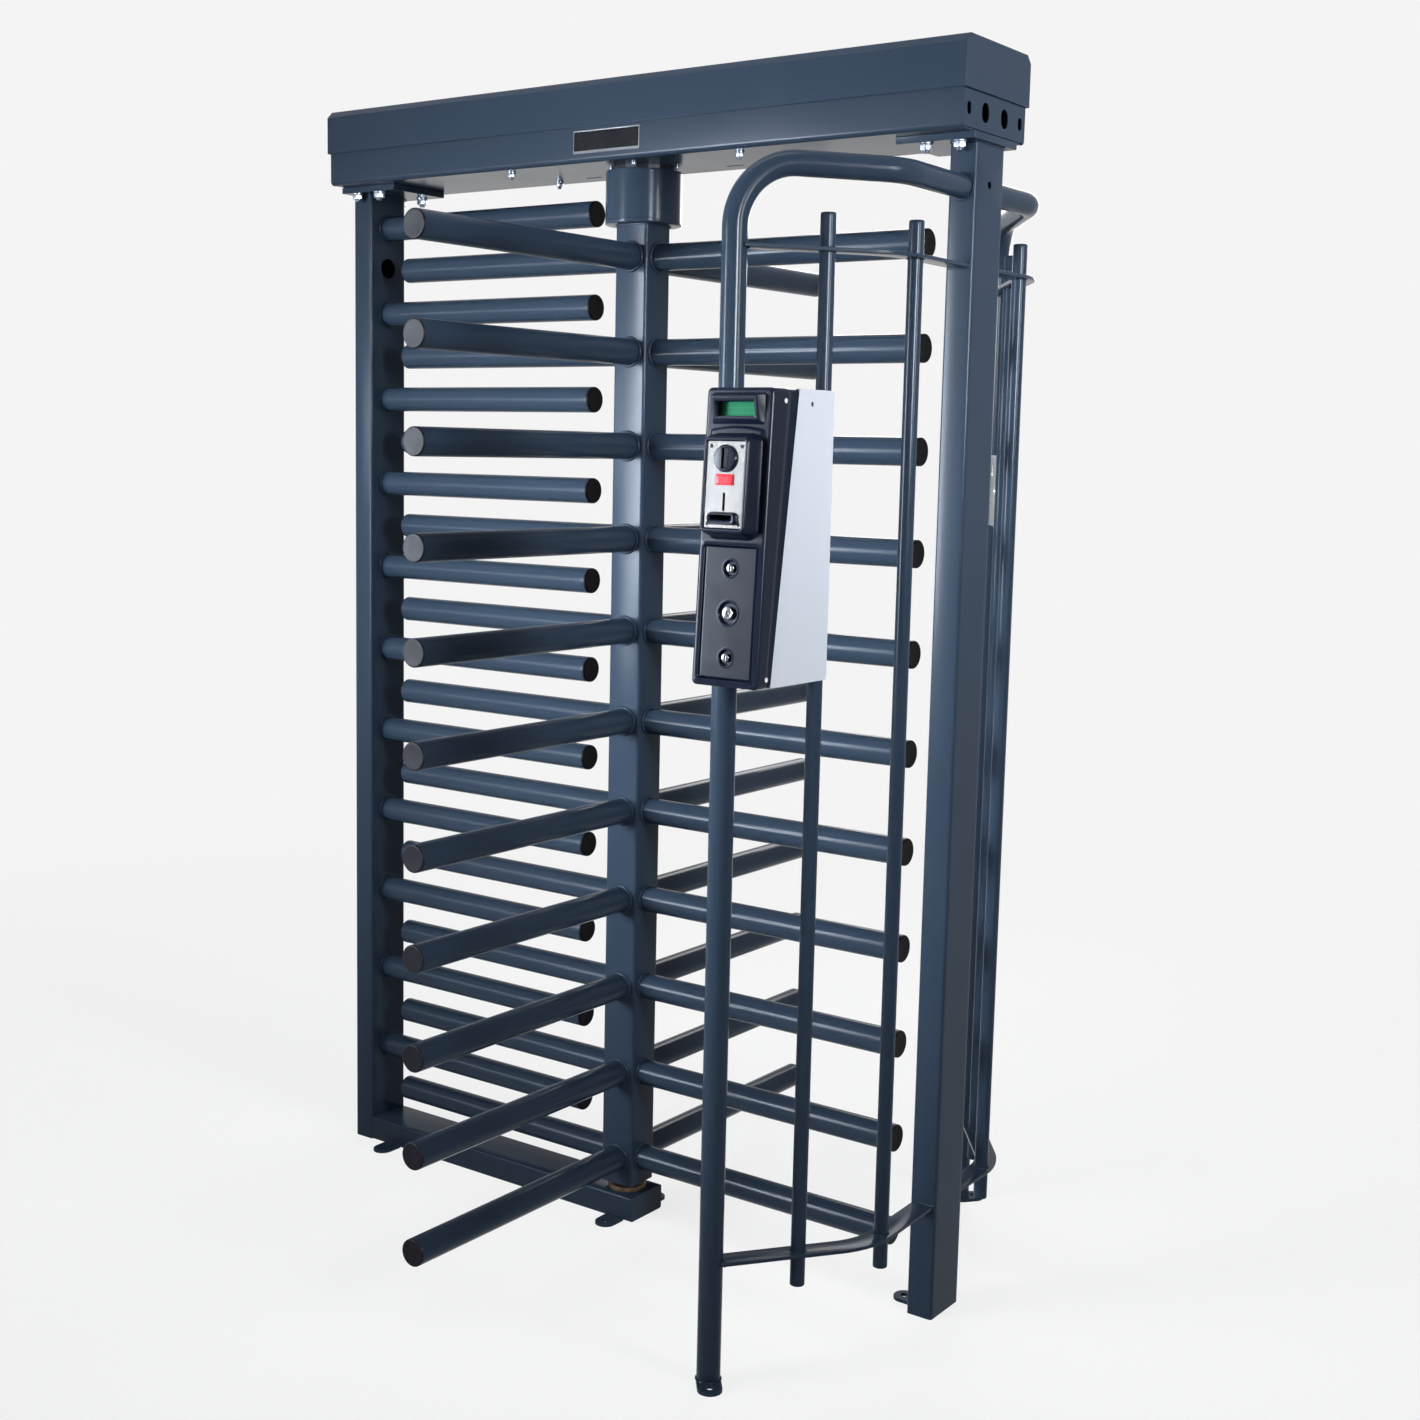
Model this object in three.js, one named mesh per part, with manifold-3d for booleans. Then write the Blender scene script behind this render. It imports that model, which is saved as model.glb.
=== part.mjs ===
// A full height turnstile: a four-winged rotor of round arms turns between a comb of fixed bars on the
// left and a cage of bent tubes on the right, under a sheet-metal head beam that holds the lock.
// Millimetres. X runs along the beam to the right, Y to the back, Z up.
// The origin is the rotor's axis at floor level.
import * as THREE from 'three';
import { mergeVertices } from 'three/addons/utils/BufferGeometryUtils.js';
import Module from 'manifold-3d';

// Fits and overruns
const FIT = 0.3; // gap between pieces that touch or run in each other
const OVERRUN = 5; // how far a cutting tool runs past the face it cuts
const MERGE_DISTANCE = 0.0001; // vertices closer than this are one

// Facets round a full circle
const ARM_SIDES = 12;
const BAR_SIDES = 10;
const HOOP_SIDES = 12;
const BORE_SIDES = 6; // small holes, and the inside of tubes
const ROD_SIDES = 10;
const TURNED_SIDES = 16;
const CUP_SIDES = 28;
const CORNER_STEPS = 2; // in each quarter of a slot's or a tube's round corner

// Posts and the rail on the floor
const POST_CLEARANCE = 60; // between the arms' ends and the inner face of each post
const POST_HEIGHT = 2040;
const POST_WIDTH = 50; // along X
const POST_DEPTH = 100; // along Y
const POST_WALL = 3;
const POST_CORNER = 5;
const RAIL_HEIGHT = 50;
const RAIL_OVERHANG = 50; // past the rotor's axis
const RAIL_END_WALL = 4;
const CABLE_HOLE_RADIUS = 20; // in the left post's inner face
const CABLE_HOLE_DROP = 148; // below the post's top
const POST_HOLE_RADIUS = 6; // in the right post's outer face
const POST_HOLE_DROP = 66;

// Foot lugs with one anchor hole each
const LUG_LENGTH = 52;
const LUG_WIDTH = 42;
const LUG_THICKNESS = 6;
const LUG_HOLE_RADIUS = 7;
const LUG_HOLE_SETBACK = 20; // from the lug's round end
const LUG_ARC_STEPS = 4;
const RAIL_LUG_INSET = 65; // first rail lug, from the left post's inner face
const RAIL_LUG_AT_AXIS = 10; // second rail lug, from the rotor's axis

// Head plates on the posts
const HEAD_PLATE_WIDTH = 150;
const HEAD_PLATE_DEPTH = 150;
const HEAD_PLATE_THICKNESS = 12;
const HEAD_PLATE_OUTER_LIP = 10; // past the post's outer face
const HEAD_BOLT_INSET = 35; // outer bolts, from the plate's outer edge
const HEAD_BOLT_SPACING_X = 62;
const HEAD_BOLT_SPACING_Y = 126;
const HEAD_BOLT_HOLE_RADIUS = 6.5;

// Rotor: one column with four wings of arms
const WING_COUNT = 4;
const ARM_COUNT = 11; // arms in each wing
const ARM_DIAMETER = 50;
const ARM_WALL = 2.5;
const ARM_REACH = 615; // from the axis to the outer face of the end plug
const TOP_ARM_DROP = 60; // highest arm below the column's upper end
const LOWEST_ARM_HEIGHT = 120;
const PLUG_LENGTH = 18; // the plug fills this much of the tube's end
const PLUG_EDGE = 3; // its rounded edge
const COLUMN_SIZE = 75;
const COLUMN_WALL = 4;
const COLUMN_CORNER = 6;
const COLUMN_END_WALL = 8; // plate that closes the column's lower end

// Comb: fixed bars on the left post, half a pitch above the arms
const COMB_CLEARANCE = 111; // from the rotor's axis to the end plugs

// Foot pivot under the column
const FOOT_PIN_RADIUS = 14;
const FOOT_PIN_REACH = 40; // how far the pin stands up into the column
const FOOT_WASHER_RADIUS = 38;
const FOOT_WASHER_THICKNESS = 9;
const FOOT_BUSH_WALL = 5;
const FOOT_BUSH_FLANGE = 6; // thickness of its flange, and how far the flange stands out
const FOOT_PIN_HEAD = 6;

// Hub cup, shaft and upper bearing
const CUP_RADIUS = 72;
const CUP_HEIGHT = 98;
const CUP_WALL = 4;
const CUP_FLOOR = 5;
const CUP_TOP_GAP = 9; // under the beam
const SHAFT_RADIUS = 20;
const SHAFT_FLANGE_RADIUS = 46;
const SHAFT_FLANGE_THICKNESS = 8;
const SHAFT_SHOULDER_RADIUS = 30;
const SHAFT_SHOULDER_THICKNESS = 7;
const SHAFT_TIP_RADIUS = 16;
const SHAFT_TIP_LENGTH = 26;
const BEARING_FLANGE_RADIUS = 58;
const BEARING_FLANGE_THICKNESS = 12;
const BEARING_SPIGOT_RADIUS = 38;
const BEARING_SPIGOT_HEIGHT = 20;
const BEARING_LIP = 3;
const BEARING_RADIUS = 31; // outer radius of the ball bearing
const BEARING_WIDTH = 17;

// Head beam: a folded tray under a folded lid
const BEAM_OVERHANG = 10; // past the outer face of each post
const BEAM_DEPTH = 230;
const BEAM_HEIGHT = 148;
const LID_HEIGHT = 85;
const LID_SHEET = 2;
const LID_CHAMFER = 13;
const TRAY_INSET = 5; // tray behind the lid's outer faces
const TRAY_SHEET = 2.5;
const TRAY_BEND = 9;
const TRAY_BEND_STEPS = 2;
const TRAY_RIM_DROP = 25; // tray rim below the lid's top
const END_HOLE_SMALL_RADIUS = 7;
const END_HOLE_SMALL_LENGTH = 21;
const END_HOLE_LARGE_RADIUS = 12.5;
const END_HOLE_LARGE_LENGTH = 32;
const END_HOLE_HEIGHT = 33; // above the tray's underside
const END_HOLE_INNER = 34; // from the beam's middle
const END_HOLE_OUTER = 91;
const FLOOR_SLOT_LENGTH = 40;
const FLOOR_SLOT_RADIUS = 4;
const FLOOR_SLOT_X = 168;
const FLOOR_SLOT_Y = 58;

// Lock mechanism in the tray
const PLATE_LENGTH = 580;
const PLATE_DEPTH = 180;
const PLATE_THICKNESS = 6;
const PLATE_LIFT = 26; // above the tray's floor
const PLATE_BORE_GAP = 6; // round the shaft's shoulder
const PLATE_FOOT_RADIUS = 11;
const PLATE_FOOT_X = 268;
const PLATE_FOOT_Y = 72;
const PLATE_FOOT_BOLT_RADIUS = 4.5;
const DISC_RADIUS = 88;
const DISC_THICKNESS = 10;
const DISC_LIFT = 12; // its underside above the mechanism plate
const NOTCH_WIDTH = 17;
const NOTCH_DEPTH = 15;
const DISC_HOLE_RADIUS = 9;
const DISC_HOLE_CIRCLE = 45;
const PAWL_PIVOT_X = 86;
const PAWL_PIVOT_Y = -60;
const PAWL_PIN_RADIUS = 6;
const PAWL_PIN_HEAD = 5; // pin above the pawl's hub
const PAWL_HUB_RADIUS = 12;
const PAWL_NOSE_GAP = 3; // between nose and disc at rest
const PAWL_NOSE_WIDTH = 10;
const PAWL_NOSE_LENGTH = 13;
const PAWL_WIDTH = 13;
const PAWL_BOW = 14; // how far the arm bows out past the nose line
const PAWL_HEAD = 19; // from the nose tip to the head's back
const SOLENOID_LENGTH = 52;
const SOLENOID_SIZE = 32;
const SOLENOID_STANDOFF = 18; // from the pawl's back to the coil's case
const SOLENOID_BORE_DEPTH = 40;
const PLUNGER_RADIUS = 5;
const PLUNGER_END_GAP = 3; // behind the plunger in its bore
const PLUNGER_TIP_EDGE = 1;

// Control board in the tray
const BOARD_LENGTH = 190;
const BOARD_DEPTH = 130;
const BOARD_THICKNESS = 1.6;
const BOARD_POST_RADIUS = 4;
const BOARD_POST_HEIGHT = 12;
const BOARD_POST_INSET = 8;
const BOARD_END_GAP = 105; // from the tray's left end
const BOARD_PART_LENGTH = 46;
const BOARD_PART_DEPTH = 40;
const BOARD_PART_HEIGHT = 34;
const BOARD_TERMINAL_DEPTH = 11;
const BOARD_TERMINAL_HEIGHT = 14;
const BOARD_CAN_RADIUS = 11;
const BOARD_CAN_HEIGHT = 27;

// Cage: a bent tube, two bands and two thin bars on each side of the right post
const HOOP_RADIUS = 20;
const HOOP_WALL = 2.5;
const HOOP_TOP_DROP = 73; // tube's centre line below the post's top
const HOOP_BEND = 100; // centre-line radius of the bends
const HOOP_BEND_STEPS = 5;
const HOOP_KNEE_STEPS = 3;
const HOOP_LUG_ANGLE = 50; // degrees from the beam's direction, outwards
const FRONT_LEG_X = 541;
const FRONT_LEG_Y = -474;
const FRONT_KNEE_X = 707;
const FRONT_KNEE_Y = -253;
const BACK_LEG_X = 503;
const BACK_LEG_Y = 474;
const BACK_KNEE_X = 700;
const BACK_KNEE_Y = 205;
const BAND_WIDTH = 40;
const BAND_THICKNESS = 6;
const BAND_BEND = 150;
const BAND_BEND_STEPS = 5;
const LOWER_BAND_HEIGHT = 208;
const UPPER_BAND_DROP = 128; // below the hoop's centre line
const CAGE_BAR_RADIUS = 12.5;
const CAGE_BAR_WALL = 2;
const CAGE_BAR_OVERHANG = 57; // past each band
const CAGE_BAR_TOP_EDGE = 1.5;
const CAGE_BAR_PLUG = 12;
const FRONT_BAR_SHARES = [0.55, 1.236]; // 0 at the leg, 1 at the knee, 2 at the post
const BACK_BAR_SHARES = [0.49, 1.2];

// Reader plate between the back leg and the first back bar
const READER_PLATE_HEIGHT = 135;
const READER_PLATE_DROP = 506; // its middle below the hoop's centre line
const READER_PLATE_SHEET = 2;
const READER_PLATE_FLANGE = 12;
const READER_HOLE_RADIUS = 6;
const READER_SLOT_RADIUS = 2.5;
const READER_SLOT_LENGTH = 26;
const READER_SLOT_SHARES = [-0.28, 0.28]; // of the plate's length and height, from its middle

// Coin unit beside the front leg, in its own frame: X across, Y into the unit, Z up
const UNIT_WIDTH = 120;
const UNIT_HEIGHT = 445;
const UNIT_DEPTH = 195;
const UNIT_FRONT_Y = -593; // front edge of the underside
const UNIT_TOP_DROP = 346; // below the hoop's centre line
const FRONT_LEAN = 27; // the front's top lies this much further back
const MOULDING_DEPTH_TOP = 69;
const MOULDING_DEPTH_BOTTOM = 37;
const MOULDING_WALL = 4;
const MOULDING_CORNER = 8;
const MOULDING_CORNER_STEPS = 3;
const HOUSING_SHEET = 1.5;
const DISPLAY_BLOCK_MARGIN = 13; // at each side
const DISPLAY_BLOCK_BOTTOM = 391; // up the front from its lower edge
const DISPLAY_BLOCK_HEIGHT = 47;
const DISPLAY_BLOCK_RISE_TOP = 17;
const DISPLAY_BLOCK_RISE_BOTTOM = 5;
const WINDOW_WIDTH = 68;
const WINDOW_HEIGHT = 21;
const WINDOW_BOTTOM = 403;
const DISPLAY_MARGIN = 7;
const DISPLAY_THICKNESS = 9;
const BEZEL_BOTTOM = 222;
const BEZEL_TOP = 376;
const BEZEL_WIDTH = 88;
const BEZEL_RISE = 29;
const BEZEL_TAPER = 6;
const BEZEL_CORNER = 14;
const BEZEL_CORNER_STEPS = 2;
const BROW_RISE = 9;
const BROW_HEIGHT = 9;
const BROW_ARCH = 6;
const BROW_WIDTH = 104;
const BROW_STEPS = 8;
const COIN_PLATE_WIDTH = 67;
const COIN_PLATE_HEIGHT = 127;
const COIN_PLATE_BOTTOM = 237;
const COIN_PLATE_SHEET = 2;
const COIN_PLATE_RECESS = 3; // below the bezel's rim
const COIN_PLATE_LEDGE = 5; // of moulding behind the plate's edge
const ENTRY_RADIUS = 20.5;
const ENTRY_RISE = 6;
const ENTRY_HEIGHT = 339; // up the front
const ENTRY_SPIGOT_RADIUS = 15;
const ENTRY_SPIGOT_LENGTH = 9;
const ENTRY_RIB_RISE = 3;
const ENTRY_RIB_WIDTH = 3.5;
const ENTRY_RIB_HEIGHT = 31;
const COIN_SLOT_WIDTH = 3.4;
const COIN_SLOT_HEIGHT = 27;
const BUTTON_WIDTH = 30;
const BUTTON_HEIGHT = 16;
const BUTTON_MIDDLE = 308;
const BUTTON_RISE = 4;
const BUTTON_DEPTH = 8; // behind the plate
const BUTTON_TRAVEL = 3;
const BUTTON_LIP = 1.5;
const BUTTON_LIP_THICKNESS = 1.5;
const RETURN_SLOT_WIDTH = 4;
const RETURN_SLOT_HEIGHT = 27;
const RETURN_SLOT_BOTTOM = 262;
const CUP_MOUTH_WIDTH = 57;
const CUP_MOUTH_HEIGHT = 16;
const CUP_MOUTH_BOTTOM = 243;
const CUP_MOUTH_DEPTH = 22;
const CUP_MOUTH_SHEET = 1.2;
const DOOR_WIDTH = 94;
const DOOR_HEIGHT = 198;
const DOOR_BOTTOM = 12;
const DOOR_THICKNESS = 6;
const DOOR_RECESS = 2;
const DOOR_GAP = 0.8;
const DOOR_CORNER = 3;
const DOOR_CORNER_STEPS = 2;
const HINGE_PIN_RADIUS = 1.2;
const HINGE_PIN_LENGTH = 4;
const MAIN_LOCK_RADIUS = 9.5;
const MAIN_LOCK_RECESS = 17;
const SMALL_LOCK_RADIUS = 6.5;
const SMALL_LOCK_RECESS = 12;
const LOCK_RECESS_DEPTH = 4;
const LOCK_RISE = 2; // head in front of the door's face
const LOCK_STEM_RADIUS = 4.5;
const LOCK_TONGUE_LENGTH = 52;
const LOCK_TONGUE_WIDTH = 12;
const LOCK_TONGUE_THICKNESS = 2;
const LOCK_TONGUE_GAP = 0.5;
const LOCK_SPACING = 67;
const KEY_SLOT_WIDTH = 2;
const KEY_SLOT_LENGTH = 8;
const KEY_SLOT_DEPTH = 3;
const VALIDATOR_WIDTH = 58;
const VALIDATOR_HEIGHT = 92;
const VALIDATOR_DEPTH = 70;
const VALIDATOR_BOTTOM = 268;
const CASH_BOX_MARGIN = 13; // inside the housing's side walls, so that it passes the door's opening
const CASH_BOX_HEIGHT = 185;
const CASH_BOX_WALL = 1.5;
const CASH_BOX_FRONT_GAP = 16; // behind the sloping front
const CASH_BOX_BACK_GAP = 6;
const CLAMP_WIRE_RADIUS = 3;
const CLAMP_LEG = 22; // of the U bolt inside the housing
const CLAMP_SHARES = [0.48, 0.88]; // of the unit's height
const CLAMP_BEND_STEPS = 8;
const CLAMP_SIDES = 8;

// Places worked out from the sizes above
const postInner = ARM_REACH + POST_CLEARANCE;
const postOuter = postInner + POST_WIDTH;
const postMiddle = postInner + POST_WIDTH / 2;
const postFace = POST_DEPTH / 2;
const beamBase = POST_HEIGHT + HEAD_PLATE_THICKNESS;
const beamTop = beamBase + BEAM_HEIGHT;
const cupTop = beamBase - CUP_TOP_GAP;
const columnTop = cupTop - CUP_HEIGHT;
const washerTop = RAIL_HEIGHT + FOOT_WASHER_THICKNESS;
const columnBottom = washerTop + FIT + FOOT_BUSH_FLANGE + FIT;
const bushBore = cornersRound(FOOT_PIN_RADIUS + FIT, TURNED_SIDES);
const shaftBottom = columnTop + CUP_FLOOR;
const armRadius = ARM_DIAMETER / 2;
const armPitch = (columnTop - TOP_ARM_DROP - LOWEST_ARM_HEIGHT) / (ARM_COUNT - 1);
const traySide = BEAM_DEPTH / 2 - TRAY_INSET;
const beamEnd = postOuter + BEAM_OVERHANG;
const trayEnd = beamEnd - TRAY_INSET;
const trayFloor = beamBase + TRAY_SHEET;
const trayRim = beamTop - TRAY_RIM_DROP;
const plateTop = trayFloor + PLATE_LIFT + PLATE_THICKNESS;
const hoopTop = POST_HEIGHT - HOOP_TOP_DROP;
const upperBandHeight = hoopTop - UPPER_BAND_DROP;
const tilt = Math.atan2(FRONT_LEAN, UNIT_HEIGHT);

const wasm = await Module();
wasm.setup();

// Solids in and out of the library that joins and cuts them

function solid(geometry) {
  const bare = geometry.index ? geometry.toNonIndexed() : geometry.clone();
  bare.deleteAttribute('normal');
  bare.deleteAttribute('uv');
  const merged = mergeVertices(bare, MERGE_DISTANCE);
  const vertProperties = new Float32Array(merged.attributes.position.array);
  const triVerts = new Uint32Array(merged.index.array);
  return new wasm.Manifold(new wasm.Mesh({ numProp: 3, vertProperties, triVerts }));
}

function geometryOf(body) {
  const mesh = body.getMesh();
  const geometry = new THREE.BufferGeometry();
  geometry.setAttribute('position', new THREE.BufferAttribute(new Float32Array(mesh.vertProperties), 3));
  geometry.setIndex(new THREE.BufferAttribute(new Uint32Array(mesh.triVerts), 1));
  geometry.computeVertexNormals();
  return geometry;
}

function join(first, ...others) {
  return others.reduce((body, other) => body.add(solid(other)), solid(first));
}

function cut(body, ...tools) {
  return tools.reduce((rest, tool) => rest.subtract(solid(tool)), body);
}

// Shapes. Each takes its limits along the axes, so that neighbours can share them.

function block(x0, x1, y0, y1, z0, z1) {
  const geometry = new THREE.BoxGeometry(x1 - x0, y1 - y0, z1 - z0);
  return geometry.translate((x0 + x1) / 2, (y0 + y1) / 2, (z0 + z1) / 2);
}

// Turns what was made along Z so that it lies along X or Y
function along(axis, geometry) {
  const turns = {
    x: new THREE.Matrix4().set(0, 0, 1, 0, 1, 0, 0, 0, 0, 1, 0, 0, 0, 0, 0, 1),
    y: new THREE.Matrix4().set(0, 1, 0, 0, 0, 0, 1, 0, 1, 0, 0, 0, 0, 0, 0, 1),
    z: new THREE.Matrix4(),
  };
  return geometry.applyMatrix4(turns[axis]);
}

// A straight round rod along an axis, through a and b on the other two axes in X, Y, Z order
function rod(axis, radius, start, end, a, b, sides = ROD_SIDES) {
  const geometry = new THREE.CylinderGeometry(radius, radius, end - start, sides);
  geometry.rotateX(Math.PI / 2);
  const flat = axis === 'y' ? [b, a] : [a, b];
  geometry.translate(flat[0], flat[1], (start + end) / 2);
  return along(axis, geometry);
}

// Radius at the corners of a faceted bore that clears a full circle
function cornersRound(radius, sides) {
  return radius / Math.cos(Math.PI / sides);
}

// A flat outline pushed along an axis. Its points are on the other two axes in X, Y, Z order.
function prism(axis, points, start, end) {
  const flat = points.map(([a, b]) => (axis === 'y' ? new THREE.Vector2(b, a) : new THREE.Vector2(a, b)));
  const geometry = new THREE.ExtrudeGeometry(new THREE.Shape(flat), {
    depth: end - start,
    bevelEnabled: false,
    steps: 1,
  });
  return along(axis, geometry.translate(0, 0, start));
}

// A turned piece about a vertical axis, from a closed profile of [radius, height]
function turned(profile, sides = TURNED_SIDES) {
  const points = [...profile, profile[0]].map(([radius, height]) => new THREE.Vector2(radius, height));
  return new THREE.LatheGeometry(points, sides).rotateX(Math.PI / 2);
}

// A rectangle with round corners, anticlockwise
function roundedRectangle(x0, x1, y0, y1, radius, steps) {
  const centres = [
    [x1 - radius, y0 + radius, -Math.PI / 2],
    [x1 - radius, y1 - radius, 0],
    [x0 + radius, y1 - radius, Math.PI / 2],
    [x0 + radius, y0 + radius, Math.PI],
  ];
  const points = [];
  for (const [x, y, from] of centres) {
    for (let step = 0; step <= steps; step += 1) {
      const angle = from + (step / steps) * (Math.PI / 2);
      points.push([x + radius * Math.cos(angle), y + radius * Math.sin(angle)]);
    }
  }
  return points;
}

// An upright slot with round ends, centred on a and b
function slotOutline(a, b, radius, length) {
  const half = length / 2;
  return roundedRectangle(a - radius, a + radius, b - half, b + half, radius, CORNER_STEPS);
}

// A skin between two rings of points with flat ends
function loft(lower, upper) {
  const count = lower.length;
  const positions = [];
  const add = (...corners) => corners.forEach((corner) => positions.push(corner.x, corner.y, corner.z));
  for (let i = 0; i < count; i += 1) {
    const next = (i + 1) % count;
    add(lower[i], lower[next], upper[next]);
    add(lower[i], upper[next], upper[i]);
  }
  for (let i = 1; i < count - 1; i += 1) {
    add(lower[0], lower[i + 1], lower[i]);
    add(upper[0], upper[i], upper[i + 1]);
  }
  const geometry = new THREE.BufferGeometry();
  geometry.setAttribute('position', new THREE.Float32BufferAttribute(positions, 3));
  return geometry;
}

// A path that gives exactly the stations it was made of, so straight runs cost one step
class StationPath extends THREE.Curve {
  constructor(stations, directions) {
    super();
    this.stations = stations;
    this.directions = directions;
  }

  get steps() {
    return this.stations.length - 1;
  }

  getPoint(t) {
    return this.stations[Math.round(t * this.steps)].clone();
  }

  getPointAt(u) {
    return this.getPoint(u);
  }

  getTangent(t) {
    return this.directions[Math.round(t * this.steps)].clone();
  }

  getTangentAt(u) {
    return this.getTangent(u);
  }
}

// Stations along straight runs between corners, with a round bend at each inner corner
function bentPath(corners, bends) {
  const stations = [corners[0].clone()];
  const directions = [corners[1].clone().sub(corners[0]).normalize()];
  for (let i = 1; i < corners.length - 1; i += 1) {
    const arriving = corners[i].clone().sub(corners[i - 1]).normalize();
    const leaving = corners[i + 1].clone().sub(corners[i]).normalize();
    const turn = arriving.angleTo(leaving);
    const { radius, steps } = bends[i - 1];
    const tangentLength = radius * Math.tan(turn / 2);
    const inward = leaving.clone().sub(arriving).normalize();
    const centre = corners[i].clone().addScaledVector(inward, radius / Math.cos(turn / 2));
    const start = corners[i].clone().addScaledVector(arriving, -tangentLength);
    const spoke = start.clone().sub(centre);
    const axis = new THREE.Vector3().crossVectors(arriving, leaving).normalize();
    for (let step = 0; step <= steps; step += 1) {
      const angle = (step / steps) * turn;
      stations.push(centre.clone().add(spoke.clone().applyAxisAngle(axis, angle)));
      directions.push(arriving.clone().applyAxisAngle(axis, angle));
    }
  }
  const last = corners.length - 1;
  stations.push(corners[last].clone());
  directions.push(corners[last].clone().sub(corners[last - 1]).normalize());
  return new StationPath(stations, directions);
}

// A round tube, or a round bar where the wall is the whole radius, along a bent path
function sweep(path, radius, wall, sides) {
  const ring = (size, count) => {
    const points = [];
    for (let i = 0; i < count; i += 1) {
      const angle = (i / count) * 2 * Math.PI;
      points.push(new THREE.Vector2(size * Math.cos(angle), size * Math.sin(angle)));
    }
    return points;
  };
  const shape = new THREE.Shape(ring(radius, sides));
  if (wall < radius) {
    shape.holes.push(new THREE.Path(ring(radius - wall, BORE_SIDES)));
  }
  return new THREE.ExtrudeGeometry(shape, { steps: path.steps, bevelEnabled: false, extrudePath: path });
}

// Materials

const paint = new THREE.MeshStandardMaterial({ color: 0x2b3543, roughness: 0.42, metalness: 0.35 });
const zinc = new THREE.MeshStandardMaterial({ color: 0xb9bec4, roughness: 0.35, metalness: 0.9 });
const steel = new THREE.MeshStandardMaterial({ color: 0x8b9096, roughness: 0.3, metalness: 0.95 });
const bronze = new THREE.MeshStandardMaterial({ color: 0x7a5a3c, roughness: 0.5, metalness: 0.7 });
const moulded = new THREE.MeshStandardMaterial({ color: 0x22242b, roughness: 0.5, metalness: 0 });
const sheetGrey = new THREE.MeshStandardMaterial({ color: 0xc6cbd8, roughness: 0.5, metalness: 0.1 });
const stainless = new THREE.MeshStandardMaterial({ color: 0xe6e7ea, roughness: 0.25, metalness: 1 });
const red = new THREE.MeshStandardMaterial({ color: 0xe8303c, roughness: 0.4, metalness: 0 });
const green = new THREE.MeshStandardMaterial({ color: 0x2f7d55, roughness: 0.3, metalness: 0 });
const boardGreen = new THREE.MeshStandardMaterial({ color: 0x1f5d3a, roughness: 0.6, metalness: 0 });

const turnstile = new THREE.Group();

function part(name, geometry, material, group = turnstile) {
  const mesh = new THREE.Mesh(geometry, material);
  mesh.name = name;
  group.add(mesh);
  return mesh;
}

// Foot lug: a flat tab with a round end, lying on the floor and pointing from a place in a direction
function lug(x, y, angle, sink) {
  const half = LUG_WIDTH / 2;
  const points = [[-sink, -half]];
  for (let step = 0; step <= LUG_ARC_STEPS; step += 1) {
    const turn = -Math.PI / 2 + (step / LUG_ARC_STEPS) * Math.PI;
    points.push([LUG_LENGTH - half + half * Math.cos(turn), half * Math.sin(turn)]);
  }
  points.push([-sink, half]);
  const holeX = LUG_LENGTH - LUG_HOLE_SETBACK;
  const tab = solid(prism('z', points, 0, LUG_THICKNESS));
  const hole = rod('z', LUG_HOLE_RADIUS, -OVERRUN, LUG_THICKNESS + OVERRUN, holeX, 0, BORE_SIDES);
  return geometryOf(cut(tab, hole)).rotateZ(angle).translate(x, y, 0);
}

// Posts: rectangular tubes standing on the floor

function postTube(x0, x1) {
  const outer = roundedRectangle(x0, x1, -postFace, postFace, POST_CORNER, CORNER_STEPS);
  const inner = block(
    x0 + POST_WALL,
    x1 - POST_WALL,
    POST_WALL - postFace,
    postFace - POST_WALL,
    -OVERRUN,
    POST_HEIGHT + OVERRUN,
  );
  return { outer: prism('z', outer, 0, POST_HEIGHT), inner };
}

function makePosts() {
  const left = postTube(-postOuter, -postInner);
  const cableHole = rod(
    'x',
    CABLE_HOLE_RADIUS,
    -postInner - POST_WALL - OVERRUN,
    OVERRUN - postInner,
    0,
    POST_HEIGHT - CABLE_HOLE_DROP,
    TURNED_SIDES,
  );
  part('left_post', geometryOf(cut(solid(left.outer), left.inner, cableHole)), paint);

  const right = postTube(postInner, postOuter);
  const boltHole = rod(
    'x',
    POST_HOLE_RADIUS,
    postOuter - POST_WALL - OVERRUN,
    postOuter + OVERRUN,
    0,
    POST_HEIGHT - POST_HOLE_DROP,
  );
  const foot = lug(postInner, 0, Math.PI, POST_WALL / 2);
  part('right_post', geometryOf(cut(join(right.outer, foot), right.inner, boltHole)), paint);
}

// The rail on the floor carries the foot pivot. Its lugs stand out on both sides.
function makeRail() {
  const outline = roundedRectangle(-postFace, postFace, 0, RAIL_HEIGHT, POST_CORNER, CORNER_STEPS);
  const lugPlaces = [RAIL_LUG_INSET - postInner, RAIL_LUG_AT_AXIS];
  const lugs = [];
  for (const x of lugPlaces) {
    lugs.push(lug(x, -postFace, -Math.PI / 2, POST_WALL / 2));
    lugs.push(lug(x, postFace, Math.PI / 2, POST_WALL / 2));
  }
  const hollow = block(
    -postInner - OVERRUN,
    RAIL_OVERHANG - RAIL_END_WALL,
    POST_WALL - postFace,
    postFace - POST_WALL,
    POST_WALL,
    RAIL_HEIGHT - POST_WALL,
  );
  const pinHole = rod(
    'z',
    FOOT_PIN_RADIUS + FIT,
    RAIL_HEIGHT - POST_WALL - OVERRUN,
    RAIL_HEIGHT + OVERRUN,
    0,
    0,
    TURNED_SIDES,
  );
  const rail = join(prism('x', outline, -postInner, RAIL_OVERHANG), ...lugs);
  part('base_rail', geometryOf(cut(rail, hollow, pinHole)), paint);
}

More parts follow.
